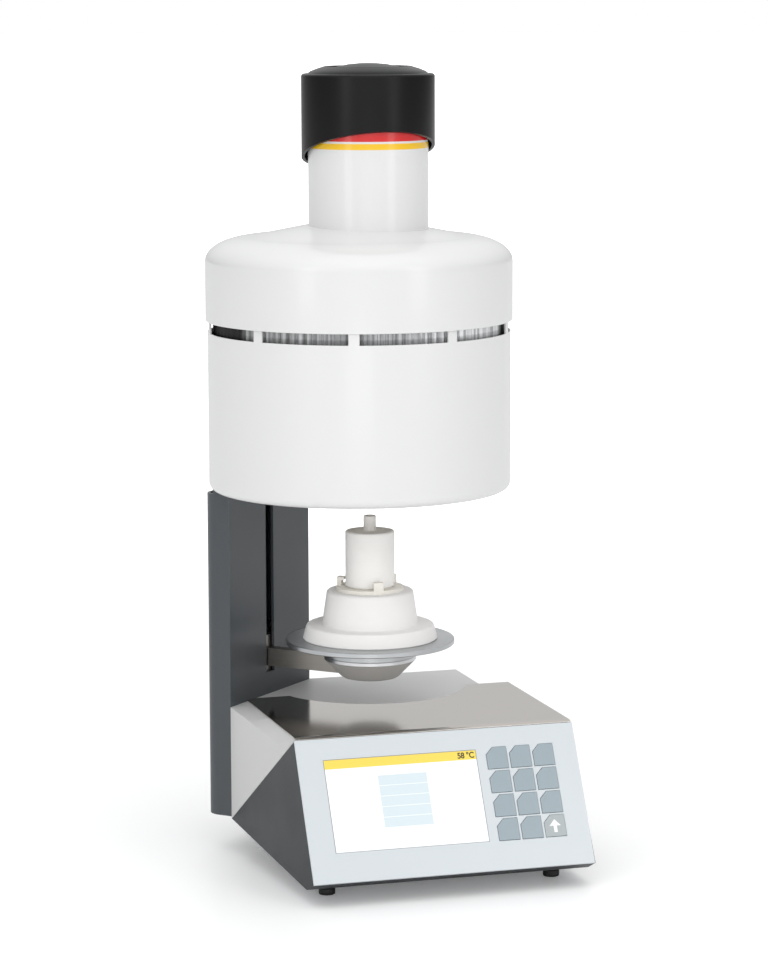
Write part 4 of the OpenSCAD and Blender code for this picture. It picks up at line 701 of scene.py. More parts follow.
def lit_screen():
    """Lit display: white ground, yellow header bar, five pale blue menu bars and a thin painted shadow
    line round its edge
    """
    finish, tree, shader = new_finish("lit_screen", 0.22, coat=0.3, coat_rough=0.15)
    size, tint = sizes(), colours()
    place = panel_place(tree)
    header = between(tree, place[1], size.screen_high - size.header_h, size.screen_high + size.header_h)
    across = between(tree, place[0], size.menu_left, size.menu_right)
    bars = None
    for row in range(5):
        low = size.menu_low + row * size.menu_pitch
        bar = between(tree, place[1], low, low + size.menu_pitch - size.menu_gap)
        bars = bar if bars is None else sums(tree, "MAXIMUM", bars, bar)
    bars = times(tree, bars, across, label="Menu bars")
    glow = noise(tree, 11.0, 1.0, 0.5, "Backlight")
    ground = shade_colour(tree, tint.screen_white, spread(tree, glow, 0.3, 0.7, 0.985, 1.0))
    shown = blend_colours(tree, bars, ground, tint.screen_blue)
    shown = blend_colours(tree, header, shown, tint.screen_yellow)
    # A thin painted shadow line runs round the screen's edge
    low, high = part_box("display_screen")
    rim = size.screen_shadow_line
    wide = between(tree, place[0], low.x - PANEL_LOW.x + rim, high.x - PANEL_LOW.x - rim)
    tall = between(tree, place[1], size.screen_low + rim, size.screen_high - 1.4 * rim)
    inside = times(tree, wide, tall, label="Inside the rim")
    shown = blend_colours(tree, inside, tint.screen_shadow_line, shown)
    feed(tree, shade_colour(tree, shown, 0.45), shader.inputs["Base Color"])
    feed(tree, shown, shader.inputs["Emission Color"])
    shader.inputs["Emission Strength"].default_value = 0.62
    feed(tree, spread(tree, glow, 0.3, 0.7, 0.2, 0.26), shader.inputs["Roughness"])
    return finish


def printed_ink(name, tint, rough):
    """Printed ink with a slightly uneven film"""
    finish, tree, shader = new_finish(name, rough)
    skin = use_group(tree, "Paint Grain", grain_size=0.0006, unevenness=0.03)
    cover(tree, shader, shade_colour(tree, tint, skin["Shade"]))
    return finish


def circuit_board():
    """Green board with lighter tracks and solder points"""
    finish, tree, shader = new_finish("circuit_board", 0.35, coat=0.3)
    cells = put(tree, "ShaderNodeTexBrick", "Tracks", offset=0.37, squash=1.0)
    feed(tree, own_place(tree), cells.inputs["Vector"])
    feed(tree, 140.0, cells.inputs["Scale"])
    feed(tree, (0.012, 0.085, 0.035, 1.0), cells.inputs["Color1"])
    feed(tree, (0.016, 0.115, 0.05, 1.0), cells.inputs["Color2"])
    feed(tree, (0.05, 0.24, 0.11, 1.0), cells.inputs["Mortar"])
    feed(tree, 0.035, cells.inputs["Mortar Size"])
    pads = put(tree, "ShaderNodeTexVoronoi", "Solder points")
    feed(tree, own_place(tree), pads.inputs["Vector"])
    feed(tree, 220.0, pads.inputs["Scale"])
    dots = spread(tree, pads.outputs["Distance"], 0.14, 0.17, 1.0, 0.0)
    feed(tree, dots, shader.inputs["Metallic"])
    colour = blend_colours(tree, dots, cells.outputs["Color"], (0.55, 0.55, 0.52))
    cover(tree, shader, colour, None, dots, 0.0002)
    return finish


def fluted_sheet():
    """Bright fluted sheet of the heat shield: uneven strips of painted reflection, painted shade at its
    left and right and low in the slots, and painted light in front
    """
    finish, tree, shader = new_finish("fluted_bright_sheet", 0.3, 0.45)
    from_centre = vector_sums(tree, "SUBTRACT", own_place(tree), (HEAD.x, HEAD.y, COVER_LOW.z))
    turn = sizes().shield_turn
    across = vector_sums(tree, "DOT_PRODUCT", from_centre, (cos(turn), -sin(turn), 0.0))
    forward = vector_sums(tree, "DOT_PRODUCT", from_centre, (-sin(turn), -cos(turn), 0.0))
    angle = sums(tree, "ARCTAN2", across, forward, label="Angle round the head")
    # The strips in the colour are painted reflections of the flutes
    strips = streaks(tree, times(tree, angle, sizes().flutes * 0.55), label="Strips")
    tone = spread(tree, strips, 0.36, 0.62, 0.5, 1.0, "Painted reflection tone")
    # The darker spans at the left and right are painted shade
    for low, high, loss in ((radians(-100), radians(-50.5), 0.97), (radians(73), radians(100), 0.9)):
        painted_shade = times(tree, between(tree, angle, low, high, 0.02), loss)
        tone = times(tree, tone, sums(tree, "SUBTRACT", 1.0, painted_shade))
    # The sheet is painted darker low in the slots as painted shade, and lighter in front as painted light
    upper = spread(tree, parts_of(tree, from_centre)[2], -0.0075, -0.0060, 0.72, 1.0, "Painted shade below")
    lit = spread(tree, angle, radians(-44), radians(0), 0.55, 1.0, "Painted light in front")
    tone = times(tree, tone, times(tree, upper, lit))
    colour = shade_colour(tree, (0.93, 0.94, 0.95), tone)
    rough = spread(tree, strips, 0.3, 0.7, 0.42, 0.29)
    cover(tree, shader, colour, rough)
    return finish


def round_axis(tree, centre):
    """The place from an upright axis, and the angle round it"""
    parts = parts_of(tree, vector_sums(tree, "SUBTRACT", own_place(tree), (centre.x, centre.y, 0.0)))
    return parts, sums(tree, "ARCTAN2", parts[1], parts[0])


def threaded_steel():
    """Lift screw with a rolled thread drawn by its relief, and by painted shade that darkens its grooves
    """
    finish, tree, shader = new_finish("threaded_steel", 0.25, 1.0)
    centre = middle_of("lead_screw")
    parts, angle = round_axis(tree, centre)
    climb = times(tree, parts[2], 2 * pi / sizes().thread)
    wave = sums(tree, "SINE", sums(tree, "SUBTRACT", climb, angle), label="Thread")
    # The colour darkens in the thread's grooves as painted shade
    colour = shade_colour(tree, (0.62, 0.62, 0.61), spread(tree, wave, -1.0, 1.0, 0.45, 1.05))
    rough = spread(tree, wave, -1.0, 1.0, 0.42, 0.18)
    cover(tree, shader, colour, rough, wave, 0.0007)
    return finish


def coil_quartz():
    """Quartz tube with the glowing wire's winding seen as fine dark turns"""
    finish, tree, shader = new_finish("quartz_coil", 0.3, coat=0.6, coat_rough=0.08)
    angle = round_axis(tree, AXIS)[1]
    turns = sums(tree, "SINE", times(tree, angle, 260.0), label="Wire turns")
    haze = noise(tree, 60.0, 4.0, 0.6, "Haze")
    wound = spread(tree, turns, 0.2, 0.6, 0.0, 0.7)
    tone = blend_colours(tree, wound, (0.72, 0.66, 0.58), (0.12, 0.085, 0.06))
    colour = shade_colour(tree, tone, spread(tree, haze, 0.3, 0.7, 0.85, 1.1))
    rough = spread(tree, haze, 0.3, 0.7, 0.29, 0.4)
    cover(tree, shader, colour, rough, turns, 0.0001)
    return finish


# Dressing the frame's own pieces

def dress(names, finish, round_edge=0.0, corner=30.0):
    """Gives frame pieces their finish, joined facets, softened edges and smooth round faces"""
    for name in names:
        piece = NODES[name]
        piece.data.materials.clear()
        piece.data.materials.append(finish)
        piece.data.polygons.foreach_set("use_smooth", [True] * len(piece.data.polygons))
        joined = piece.modifiers.new("Joined facets", "WELD")
        joined.merge_threshold = WELD
        if round_edge:
            flat = piece.modifiers.new("Flat faces", "DECIMATE")
            flat.decimate_type = "DISSOLVE"
            flat.angle_limit = radians(0.4)
            soft = piece.modifiers.new("Softened edges", "BEVEL")
            soft.width = round_edge
            soft.segments = 2
            soft.limit_method = "ANGLE"
            soft.angle_limit = radians(corner)
            even = piece.modifiers.new("Even shading", "WEIGHTED_NORMAL")
            even.weight = 60
            even.mode = "FACE_AREA"
        else:
            split = piece.modifiers.new("Sharp edges", "EDGE_SPLIT")
            split.split_angle = radians(corner)


# Modelling small pieces

def let_go():
    """Leaves edit mode and deselects everything"""
    if bpy.context.object and bpy.context.object.mode != "OBJECT":
        bpy.ops.object.mode_set(mode="OBJECT")
    bpy.ops.object.select_all(action="DESELECT")


def only(piece):
    let_go()
    piece.select_set(True)
    bpy.context.view_layer.objects.active = piece


def pick_faces(piece, wanted):
    """In edit mode, selects the faces that wanted(centre, normal) accepts"""
    bpy.ops.mesh.select_mode(type="FACE")
    bpy.ops.mesh.select_all(action="DESELECT")
    shape = bmesh.from_edit_mesh(piece.data)
    for face in shape.faces:
        face.select = bool(wanted(face.calc_center_median(), face.normal))
    shape.select_flush(True)
    bmesh.update_edit_mesh(piece.data)


def pick_edges(piece, wanted):
    """In edit mode, selects the edges whose two ends wanted(point, point) accepts"""
    bpy.ops.mesh.select_mode(type="EDGE")
    bpy.ops.mesh.select_all(action="DESELECT")
    shape = bmesh.from_edit_mesh(piece.data)
    for edge in shape.edges:
        edge.select = bool(wanted(edge.verts[0].co, edge.verts[1].co))
    shape.select_flush(True)
    bmesh.update_edit_mesh(piece.data)


def finish_piece(piece, name, finish, body, replaced=()):
    """Puts the piece's place in its mesh, shades it, names it and makes it ride"""
    only(piece)
    bpy.ops.object.transform_apply(location=True, rotation=True, scale=True)
    bpy.ops.object.shade_smooth_by_angle(angle=radians(35))
    piece.name = name
    piece.data.name = name
    piece.data.materials.clear()
    piece.data.materials.append(finish)
    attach(piece, body)
    if replaced:
        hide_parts(*replaced)
    let_go()


def copy_to(piece, where):
    """A copy of a piece with its own mesh, placed by a matrix"""
    other = piece.copy()
    other.data = piece.data.copy()
    other.matrix_world = where
    bpy.context.scene.collection.objects.link(other)
    return other


def gather(parts):
    """Joins like pieces into one object"""
    let_go()
    for part in parts:
        part.select_set(True)
    bpy.context.view_layer.objects.active = parts[0]
    bpy.ops.object.transform_apply(location=True, rotation=True, scale=True)
    bpy.ops.object.join()
    return bpy.context.object


def remove(piece):
    mesh = piece.data
    bpy.data.objects.remove(piece)
    bpy.data.meshes.remove(mesh)


def model_screw():
    """One round-headed screw with a hex socket, standing on the ground plane"""
    size = sizes()
    let_go()
    bpy.ops.mesh.primitive_cylinder_add(vertices=24, radius=size.screw_r, depth=size.screw_h,
                                        location=(0, 0, size.screw_h / 2))
    head = bpy.context.object
    bpy.ops.object.transform_apply(location=True, rotation=True, scale=True)
    bpy.ops.object.mode_set(mode="EDIT")
    pick_edges(head, lambda a, b: min(a.z, b.z) > size.screw_h * 0.9)
    bpy.ops.mesh.bevel(offset=size.screw_h * 0.45, segments=3, affect="EDGES")
    bpy.ops.object.mode_set(mode="OBJECT")
    let_go()
    bpy.ops.mesh.primitive_cylinder_add(vertices=6, radius=size.screw_r * 0.52, depth=size.screw_h,
                                        location=(0, 0, size.screw_h * 0.9))
    key = bpy.context.object
    only(head)
    hole = head.modifiers.new("Socket", "BOOLEAN")
    hole.object = key
    hole.operation = "DIFFERENCE"
    hole.solver = "EXACT"
    bpy.ops.object.modifier_apply(modifier=hole.name)
    remove(key)
    return head


def stood_at(place, outward):
    """Matrix that stands a piece at a place with its top facing outward"""
    return Matrix.Translation(place) @ Vector(outward).to_track_quat("Z", "Y").to_matrix().to_4x4()


def screw_group(pattern, spots, name, finish):
    """Copies of the screw at places with their outward directions, as one piece on the frame"""
    parts = [copy_to(pattern, stood_at(Vector(place), outward)) for place, outward in spots]
    finish_piece(gather(parts), name, finish, "frame")


# The studio

def place_camera(scene, rig):
    """A camera at the photographer's place"""
    camera = bpy.data.objects.new("studio_camera", bpy.data.cameras.new("studio_camera"))
    scene.collection.objects.link(camera)
    camera.data.sensor_width = 36.0
    camera.data.lens = rig.focal_px / rig.picture_h * camera.data.sensor_width
    camera.data.clip_start, camera.data.clip_end = 0.05, 400.0
    turn, fall, roll = rig.camera_turn, rig.camera_pitch, rig.camera_roll
    ahead = Vector((sin(turn) * cos(fall), cos(turn) * cos(fall), -sin(fall)))
    right = Vector((cos(turn), -sin(turn), 0.0))
    up = right.cross(ahead)
    rolled = right * cos(roll) + up * sin(roll)
    risen = up * cos(roll) - right * sin(roll)
    camera.matrix_world = Matrix.Translation(rig.camera_at) @ Matrix(
        (rolled, risen, -ahead)).transposed().to_4x4()
    scene.camera = camera


def lay_floor(rig):
    """A wide white floor that turns whiter far away"""
    let_go()
    bpy.ops.mesh.primitive_circle_add(vertices=96, radius=FLOOR_R, fill_type="NGON", location=(0, 0, 0))
    ground = bpy.context.object
    ground.name = "studio_floor"
    bpy.ops.object.mode_set(mode="EDIT")
    bpy.ops.mesh.inset(thickness=FLOOR_R - FLOOR_INNER, depth=0.0)
    bpy.ops.object.mode_set(mode="OBJECT")
    finish, tree, shader = new_finish("studio_floor", 0.38, specular=0.3)
    cloud = noise(tree, 1.5, 2.0, 0.5, "Floor cloud")
    feed(tree, shade_colour(tree, colours().floor, spread(tree, cloud, 0.3, 0.7, 0.996, 1.004)),
         shader.inputs["Base Color"])
    feed(tree, spread(tree, cloud, 0.3, 0.7, 0.34, 0.42), shader.inputs["Roughness"])
    shader.inputs["Emission Color"].default_value = (1, 1, 1, 1)
    seen = put(tree, "ShaderNodeLightPath").outputs["Is Camera Ray"]
    away = vector_sums(tree, "LENGTH", own_place(tree), (0.0, 0.0, 0.0))
    glow = spread(tree, away, rig.glow_from, rig.glow_full, rig.floor_glow, 1.0, "Whiter far away")
    feed(tree, times(tree, seen, glow), shader.inputs["Emission Strength"])
    ground.data.materials.append(finish)
    let_go()


def set_surround(scene, rig):
    """A white surround that lights more from some sides than from others"""
    turn = rig.camera_turn
    world = bpy.data.worlds.new("white_surround")
    scene.world = world
    world.use_nodes = True
    tree = world.node_tree
    tree.nodes.clear()
    seen = put(tree, "ShaderNodeBackground", "Seen surround")
    seen.inputs["Color"].default_value = (1, 1, 1, 1)
    seen.inputs["Strength"].default_value = 1.0
    cast = put(tree, "ShaderNodeBackground", "Cast light")
    cast.inputs["Color"].default_value = (0.99, 0.995, 1.0, 1)
    strength = rig.sky
    for aim, focus, part in (((-sin(turn), -cos(turn), 0.15), 2.0, rig.sky_front),
                             ((sin(turn), cos(turn), 0.15), 4.0, rig.sky_back),
                             ((0.0, 0.0, 1.0), 1.0, rig.sky_top)):
        toward = sums(tree, "MAXIMUM", vector_sums(tree, "DOT_PRODUCT", own_place(tree), aim), 0.0)
        strength = scaled(tree, sums(tree, "POWER", toward, focus), part, strength)
    feed(tree, strength, cast.inputs["Strength"])
    path = put(tree, "ShaderNodeLightPath")
    mixed = put(tree, "ShaderNodeMixShader")
    feed(tree, path.outputs["Is Camera Ray"], mixed.inputs[0])
    feed(tree, cast.outputs[0], mixed.inputs[1])
    feed(tree, seen.outputs[0], mixed.inputs[2])
    feed(tree, mixed.outputs[0], put(tree, "ShaderNodeOutputWorld").inputs["Surface"])


def hang_lights(scene, rig):
    """Soft lights at the sides, in front and above"""
    middle, low_middle = (0.0, 0.0, 0.45), (0.0, 0.0, 0.2)
    for name, place, target, wide, tall, power in (
            ("left_strip", (-2.33, -1.66, 1.27), middle, 0.7, 1.87, rig.strips),
            ("right_strip", (1.365, -2.51, 1.27), middle, 0.7, 1.87, rig.strips),
            ("front_box", (-0.74, -2.50, 0.16), middle, 0.9, 0.3, rig.front),
            ("top_box", (0.2, -0.6, 2.9), low_middle, 2.4, 2.4, rig.top)):
        lamp = bpy.data.lights.new(name, "AREA")
        lamp.shape, lamp.size, lamp.size_y, lamp.energy = "RECTANGLE", wide, tall, power
        stand = bpy.data.objects.new(name, lamp)
        scene.collection.objects.link(stand)
        stand.location = place
        stand.rotation_euler = (Vector(target) - Vector(place)).to_track_quat("-Z", "Y").to_euler()


# Operators: one for each piece or group of like pieces

class FURNACE_OT_shells(bpy.types.Operator):
    """Paints the lower shell, the rear housing and the base plate"""

    bl_idname = "furnace.shells"
    bl_label = "Base shells"

    def execute(self, context):
        dress(["base_shell"], anthracite_paint(), 0.0006)
        dress(["rear_housing"], light_grey_paint(), 0.0005, 20.0)
        dress(["base_plate"], metal("zinc_plate", (0.52, 0.54, 0.56), 0.38, (30.0, 900.0, 900.0)))
        return {"FINISHED"}


class FURNACE_OT_deck(bpy.types.Operator):
    """Finishes the brushed steel deck with its folded lip"""

    bl_idname = "furnace.deck"
    bl_label = "Steel deck"

    def execute(self, context):
        dress(["top_plate"], deck_steel(), 0.0003)
        return {"FINISHED"}


class FURNACE_OT_panel(bpy.types.Operator):
    """Finishes the front panel, the display and the keys"""

    bl_idname = "furnace.panel"
    bl_label = "Panel, display and keys"

    def execute(self, context):
        dress(["front_panel"], film("panel_film", colours().panel_film, 0.34), 0.0004)
        dress(["display_module"], metal("display_case", (0.45, 0.46, 0.48), 0.4, (400.0, 400.0, 400.0)))
        dress(["display_screen"], lit_screen())
        tint, proud = colours(), sizes().key_proud
        plain_keys = [f"key_{number}" for number in range(1, 12)]
        dress(plain_keys, film("key_film", tint.key_film, 0.38, proud), 0.00025)
        dress(["start_key"], film("start_key_film", tint.start_film, 0.38, proud), 0.00025)
        dress(["keypad_board", "control_board"], circuit_board())
        return {"FINISHED"}


class FURNACE_OT_column(bpy.types.Operator):
    """Paints the lift column and its back cover"""

    bl_idname = "furnace.column"
    bl_label = "Column"

    def execute(self, context):
        paint = column_paint_lit()
        dress(["column"], paint, 0.0007)
        dress(["column_back"], paint, 0.0004)
        return {"FINISHED"}


class FURNACE_OT_drive(bpy.types.Operator):
    """Finishes the lift drive inside the column"""

    bl_idname = "furnace.drive"
    bl_label = "Lift drive"

    def execute(self, context):
        bright = metal("ground_steel", (0.68, 0.69, 0.70), 0.16, (900.0, 900.0, 20.0))
        dress(["guide_rails"], bright)
        dress(["lead_screw"], threaded_steel())
        machined = metal("machined_aluminium", (0.58, 0.59, 0.60), 0.34, (700.0, 700.0, 90.0), 0.2)
        dress(["screw_bearings", "carriage", "motor_coupling"], machined, 0.0004)
        dress(["screw_nut"], metal("nut_brass", (0.62, 0.44, 0.16), 0.22, (500.0, 500.0, 500.0),
                                   polished=(0.8, 0.62, 0.3)), 0.0004)
        dress(["lift_motor", "press_motor"], plastic("motor_black", (0.02, 0.02, 0.022), 0.42), 0.0005)
        zinc = metal("zinc_steel", (0.52, 0.54, 0.56), 0.4, (60.0, 700.0, 700.0))
        dress(["head_bracket", "base_ring"], zinc)
        dress(["arm_bolts"], metal("bolt_steel", (0.36, 0.37, 0.38), 0.33, (800.0, 800.0, 800.0)))
        return {"FINISHED"}


class FURNACE_OT_table(bpy.types.Operator):
    """Finishes the firing table, its cone and the lift arm"""

    bl_idname = "furnace.table"
    bl_label = "Firing table"

    def execute(self, context):
        dress(["table_disk"], turned_aluminium())
        dress(["table_cone"], blasted_cone())
        ground = metal("ground_arm_steel", colours().arm, 0.33, (30.0, 30.0, 1500.0), 0.25)
        dress(["lift_arm"], ground, 0.0006)
        return {"FINISHED"}


class FURNACE_OT_ceramics(bpy.types.Operator):
    """Finishes the insulator, the claw tray, the muffle and the plunger"""

    bl_idname = "furnace.ceramics"
    bl_label = "Ceramic pieces"

    def execute(self, context):
        tint = colours()
        dress(["muffle"], muffle_ceramic())
        for node, name, colour, pore, depth, rough, contrast, edge in (
                ("claw_tray", "tray_ceramic", tint.tray, 0.0009, 0.00004, 0.6, 0.05, 0.0005),
                ("plunger", "plunger_ceramic", tint.plunger, 0.0008, 0.00005, 0.7, 0.08, 0.0003),
                ("chamber_insulation", "chamber_fibre", (0.80, 0.78, 0.74), 0.0022, 0.0002, 0.92, 0.06,
                 0.0),
                ("chamber_seal", "seal_rope", (0.62, 0.61, 0.58), 0.0030, 0.0005, 0.9, 0.12, 0.0),
                ("thermocouple", "probe_ceramic", (0.74, 0.70, 0.62), 0.0007, 0.00003, 0.5, 0.05, 0.0)):
            dress([node], ceramic(name, colour, pore, depth, rough, contrast), edge)
        wool = ceramic("fibre_insulator", tint.fibre, 0.0017, 0.00011, 0.9, 0.035, stained=0.05)
        dress(["insulator"], wool)
        dress(["heating_coil"], coil_quartz())
        return {"FINISHED"}


class FURNACE_OT_head(bpy.types.Operator):
    """Paints the head's jacket and cover and finishes its heat shield"""

    bl_idname = "furnace.head"
    bl_label = "Heating head"

    def execute(self, context):
        dress(["upper_cover", "lower_jacket"], white_paint())
        dress(["heat_shield"], fluted_sheet())
        return {"FINISHED"}


class FURNACE_OT_tower(bpy.types.Operator):
    """Paints the tower with its bands and finishes the cap and the press ram"""

    bl_idname = "furnace.tower"
    bl_label = "Press tower"

    def execute(self, context):
        dress(["tower_tube"], tower_paint())
        dress(["tower_cap"], plastic("satin_black_cap", (0.008, 0.008, 0.0084), 0.33, 0.0010, 0.00004,
                                     wear_and_highlight=0.12, edge_tint=(0.05, 0.05, 0.05), specular=0.18, dust=0.0))
        dress(["press_ram"], ceramic("ram_ceramic", (0.72, 0.69, 0.62), 0.0009, 0.00003, 0.5))
        dress(["ram_bush"], metal("bush_bronze", (0.55, 0.42, 0.2), 0.33, (500.0, 500.0, 500.0)))
        return {"FINISHED"}


class FURNACE_OT_rear(bpy.types.Operator):
    """Finishes the fittings at the rear and the power supply"""

    bl_idname = "furnace.rear"
    bl_label = "Rear fittings"

    def execute(self, context):
        dark = plastic("fitting_black", (0.014, 0.014, 0.015), 0.45)
        dress(["mains_inlet", "switch_housing", "fan_frame"], dark, 0.0003)
        dress(["fan_rotor"], plastic("fan_black", (0.025, 0.025, 0.028), 0.38), 0.0002)
        dress(["switch_rocker"], plastic("rocker_red", (0.45, 0.012, 0.012), 0.21, coat=0.4, wear_and_highlight=0.1,
                                         edge_tint=(0.6, 0.08, 0.06)), 0.0003)
        dress(["vacuum_port"], metal("port_brass", (0.64, 0.47, 0.20), 0.21, (600.0, 600.0, 600.0),
                                     polished=(0.85, 0.68, 0.38)), 0.0002)
        case = metal("supply_case", (0.50, 0.51, 0.52), 0.42, (900.0, 40.0, 900.0))
        dress(["power_supply"], case, 0.0004)
        return {"FINISHED"}


def foot_places():
    """Middle of each foot of the frame, and a foot's radius"""
    spots = []
    for corner in NODES["rubber_feet"].data.vertices:
        point = corner.co.xy.copy()
        for ring in spots:
            if (ring[0] - point).length < sizes().foot_apart:
                ring.append(point)
                break
        else:
            spots.append([point])
    centres = []
    for ring in spots:
        xs, ys = [point.x for point in ring], [point.y for point in ring]
        centres.append(Vector(((min(xs) + max(xs)) / 2, (min(ys) + max(ys)) / 2, 0.0)))
        radius = (max(xs) - min(xs)) / 2
    return centres, radius


def model_foot(radius, tall):
    """One foot with a groove round it and rounded edges, standing on the ground plane"""
    size = sizes()
    let_go()
    bpy.ops.mesh.primitive_cylinder_add(vertices=48, radius=radius, depth=tall,
                                        location=(0, 0, tall / 2))
    foot = bpy.context.object
    bpy.ops.object.transform_apply(location=True, rotation=True, scale=True)
    bpy.ops.object.mode_set(mode="EDIT")
    for height in (size.groove_low, size.groove_high):
        bpy.ops.mesh.select_all(action="SELECT")
        bpy.ops.mesh.bisect(plane_co=(0, 0, height), plane_no=(0, 0, 1))
    pick_faces(foot, lambda centre, normal: size.groove_low < centre.z < size.groove_high)
    bpy.ops.mesh.extrude_region_shrink_fatten(
        TRANSFORM_OT_shrink_fatten={"value": -size.foot_groove, "use_even_offset": True})
    pick_edges(foot, lambda a, b: max(a.z, b.z) < 0.0001)
    bpy.ops.mesh.bevel(offset=size.foot_round, segments=4, affect="EDGES")
    bpy.ops.object.mode_set(mode="OBJECT")
    soft = foot.modifiers.new("Soft edges", "BEVEL")
    soft.width, soft.segments, soft.limit_method = 0.0003, 2, "ANGLE"
    only(foot)
    bpy.ops.object.modifier_apply(modifier=soft.name)
    return foot


class FURNACE_OT_feet(bpy.types.Operator):
    """Models the four rubber feet, each with a groove and rounded edges"""

    bl_idname = "furnace.feet"
    bl_label = "Rubber feet"

    def execute(self, context):
        low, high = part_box("rubber_feet")
        centres, radius = foot_places()
        foot = model_foot(radius, high.z - low.z)
        feet = [copy_to(foot, Matrix.Translation(centre)) for centre in centres]
        remove(foot)
        rubber = plastic("foot_rubber", (0.013, 0.013, 0.014), 0.5, 0.0008, 0.00005, wear_and_highlight=0.15,
                         edge_tint=(0.06, 0.06, 0.06))
        finish_piece(gather(feet), "moulded_feet", rubber, "frame", ("rubber_feet",))
        return {"FINISHED"}


class FURNACE_OT_arrow(bpy.types.Operator):
    """Models the white arrow printed on the start key"""

    bl_idname = "furnace.arrow"
    bl_label = "Start arrow"

    def execute(self, context):
        size = sizes()
        let_go()
        bpy.ops.mesh.primitive_plane_add(size=1.0, location=(0, 0, 0))
        arrow = bpy.context.object
        shaft_h = size.arrow_h * 0.5
        arrow.scale = (size.arrow_shaft, shaft_h, 1.0)
        arrow.location = (0, shaft_h / 2, 0)
        bpy.ops.object.transform_apply(location=True, rotation=True, scale=True)
        bpy.ops.object.mode_set(mode="EDIT")
        pick_edges(arrow, lambda a, b: min(a.y, b.y) > shaft_h * 0.9)
        bpy.ops.mesh.extrude_region_move(TRANSFORM_OT_translate={"value": (0, 0, 0)})
        bpy.ops.transform.resize(value=(size.arrow_w / size.arrow_shaft, 1, 1),
                                 center_override=(0, shaft_h, 0))
        bpy.ops.mesh.extrude_region_move(TRANSFORM_OT_translate={"value": (0, size.arrow_h - shaft_h, 0)})
        bpy.ops.transform.resize(value=(0.02, 1, 1), center_override=(0, size.arrow_h, 0))
        bpy.ops.mesh.select_all(action="SELECT")
        bpy.ops.mesh.remove_doubles(threshold=0.0000005)
        bpy.ops.mesh.normals_make_consistent(inside=False)
        bpy.ops.object.mode_set(mode="OBJECT")
        thick = arrow.modifiers.new("Ink", "SOLIDIFY")
        thick.thickness, thick.offset = INK, 1.0
        only(arrow)
        bpy.ops.object.modifier_apply(modifier=thick.name)
        arrow.matrix_world = on_panel(size.arrow_x, size.arrow_low, size.key_proud + OFF_GROUND)
        ink = printed_ink("white_ink", (0.9, 0.9, 0.9), 0.4)
        finish_piece(arrow, "start_arrow", ink, "start_key")
        return {"FINISHED"}


class FURNACE_OT_reading(bpy.types.Operator):
    """Models the plain temperature reading at the right of the screen's header"""

    bl_idname = "furnace.reading"
    bl_label = "Temperature reading"

    def execute(self, context):
        size = sizes()
        let_go()
        bpy.ops.object.text_add(location=(0, 0, 0))
        words = bpy.context.object
        words.data.body = "58 °C"
        words.data.align_x = "RIGHT"
        words.data.size = size.reading_h / FIGURE_SHARE
        words.data.extrude = INK / 2
        words.data.offset = FIGURE_BOLD
        words.data.space_character = 0.95
        bpy.ops.object.convert(target="MESH")
        reading = bpy.context.object
        squeeze = Matrix.Diagonal((0.92, 1.0, 1.0, 1.0))
        reading.matrix_world = on_panel(size.reading_right, size.reading_low, -0.00006) @ squeeze
        ink = printed_ink("digit_ink", colours().digit_ink, 0.4)
        finish_piece(reading, "temperature_reading", ink, "frame")
        return {"FINISHED"}


def rear_spots():
    """Screws of the fan, the mains inlet and the rear housing, each with its outward direction"""
    back = (0, 1, 0)
    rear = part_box("rear_housing")[1].y
    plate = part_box("mains_inlet")[1].y
    fan, inlet = middle_of("fan_frame"), middle_of("mains_inlet")
    spots = [((fan.x + x, rear, fan.z + z), back)
             for x in (-FAN_SCREW, FAN_SCREW) for z in (-FAN_SCREW, FAN_SCREW)]
    spots += [((inlet.x + x, plate, inlet.z), back) for x in (-INLET_SCREW, INLET_SCREW)]
    spots += [((x, rear, z), back) for x, z in REAR_SCREWS]
    return spots


def column_spots():
    """Two rows of screws along the edges of the column's back cover, which faces left and back"""
    low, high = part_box("column_back")
    centre = middle_of("column_back")
    behind, along = Vector((-1, 1, 0)).normalized(), Vector((1, 1, 0)).normalized()
    corners = [corner.co - centre for corner in NODES["column_back"].data.vertices]
    outer = max(corner.dot(behind) for corner in corners)
    half = max(corner.dot(along) for corner in corners)
    spots = []
    for side in (-1, 1):
        for part in COLUMN_SCREWS:
            place = centre + along * side * (half - COLUMN_SCREW_INSET) + behind * outer
            spots.append(((place.x, place.y, low.z + part * (high.z - low.z)), behind))
    return spots


def head_spots():
    """Screws round the back of the head's jacket and cover"""
    radius = (JACKET_HIGH.x - JACKET_LOW.x) / 2
    spots = []
    for angles, height, step in ((JACKET_SCREWS, JACKET_LOW.z + JACKET_SCREW_UP, 0.0),
                                 (COVER_SCREWS, COVER_LOW.z + COVER_SCREW_UP, COVER_STEP)):
        reach = radius + step - SCREW_SINK
        for angle in angles:
            out = Vector((cos(radians(angle)), sin(radians(angle)), 0))
            spots.append((Vector((HEAD.x, HEAD.y, height)) + out * reach, out))
    return spots


def floor_spots():
    """Screws under the base plate"""
    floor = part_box("base_plate")[0].z
    return [((x, y, floor), (0, 0, -1)) for x, y in FLOOR_SCREWS]


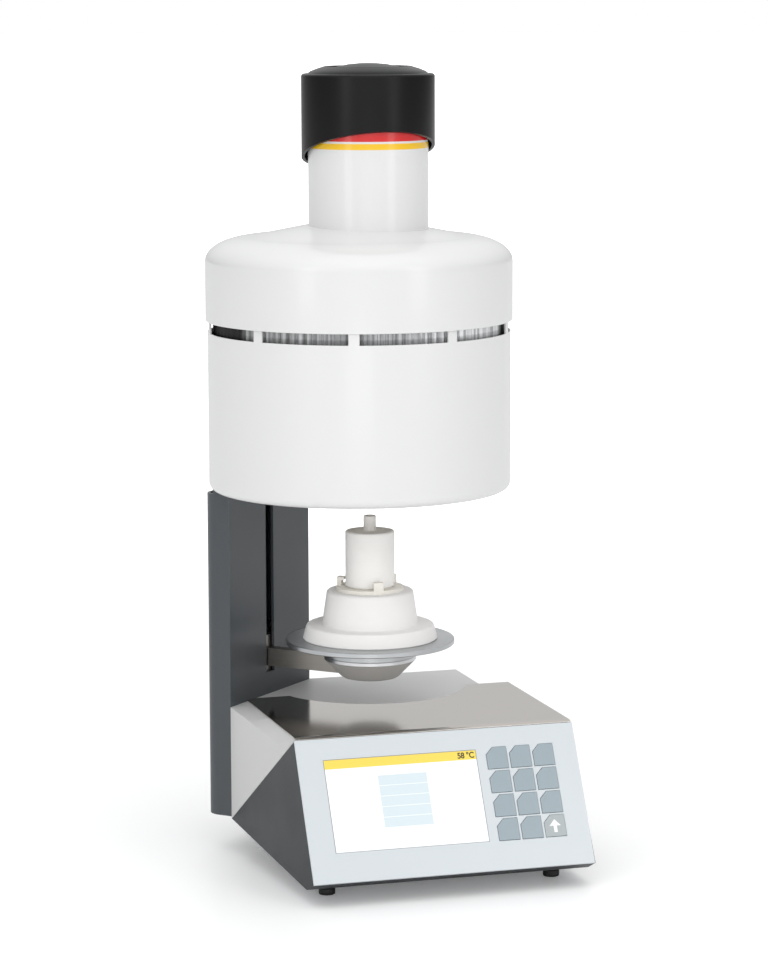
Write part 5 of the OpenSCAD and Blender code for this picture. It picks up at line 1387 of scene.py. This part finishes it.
class FURNACE_OT_screws(bpy.types.Operator):
    """Models one housing screw and copies it to the rear, the column, the head and the floor"""

    bl_idname = "furnace.screws"
    bl_label = "Housing screws"

    def execute(self, context):
        pattern = model_screw()
        steel = metal("screw_steel", (0.30, 0.31, 0.32), 0.33, (900.0, 900.0, 900.0), wear_and_highlight=0.6)
        for name, spots in (("rear_screws", rear_spots()), ("column_screws", column_spots()),
                            ("head_screws", head_spots()), ("floor_screws", floor_spots())):
            screw_group(pattern, spots, name, steel)
        remove(pattern)
        return {"FINISHED"}


class FURNACE_OT_stage(bpy.types.Operator):
    """Sets the camera, the white floor and the soft studio lights"""

    bl_idname = "furnace.stage"
    bl_label = "Studio"

    def execute(self, context):
        scene, rig = context.scene, studio()
        place_camera(scene, rig)
        lay_floor(rig)
        set_surround(scene, rig)
        hang_lights(scene, rig)
        scene.view_settings.view_transform = "Standard"
        scene.view_settings.look = "None"
        return {"FINISHED"}


class FURNACE_PT_sidebar(bpy.types.Panel):
    """Lists the furnace's operators"""

    bl_label = "Dental Lab Furnace"
    bl_idname = "FURNACE_PT_sidebar"
    bl_space_type = "VIEW_3D"
    bl_region_type = "UI"
    bl_category = "Furnace"

    def draw(self, context):
        for step in STEPS:
            self.layout.operator(step.bl_idname)


STEPS = (
    FURNACE_OT_shells, FURNACE_OT_deck, FURNACE_OT_panel, FURNACE_OT_column, FURNACE_OT_drive,
    FURNACE_OT_table, FURNACE_OT_ceramics, FURNACE_OT_head, FURNACE_OT_tower, FURNACE_OT_rear,
    FURNACE_OT_feet, FURNACE_OT_arrow, FURNACE_OT_reading, FURNACE_OT_screws, FURNACE_OT_stage,
)
GROUPS = (
    (FurnaceColours, "furnace_colours"),
    (FurnaceSizes, "furnace_sizes"),
    (FurnaceStudio, "furnace_studio"),
)


def register():
    for kind, name in GROUPS:
        bpy.utils.register_class(kind)
        setattr(bpy.types.Scene, name, PointerProperty(type=kind))
    for kind in (*STEPS, FURNACE_PT_sidebar):
        bpy.utils.register_class(kind)


def unregister():
    for kind in (FURNACE_PT_sidebar, *reversed(STEPS)):
        bpy.utils.unregister_class(kind)
    for kind, name in reversed(GROUPS):
        delattr(bpy.types.Scene, name)
        bpy.utils.unregister_class(kind)


def main():
    register()
    make_groups()
    for step in STEPS:
        getattr(bpy.ops.furnace, step.bl_idname.split(".")[1])()


if __name__ == "__main__":
    main()
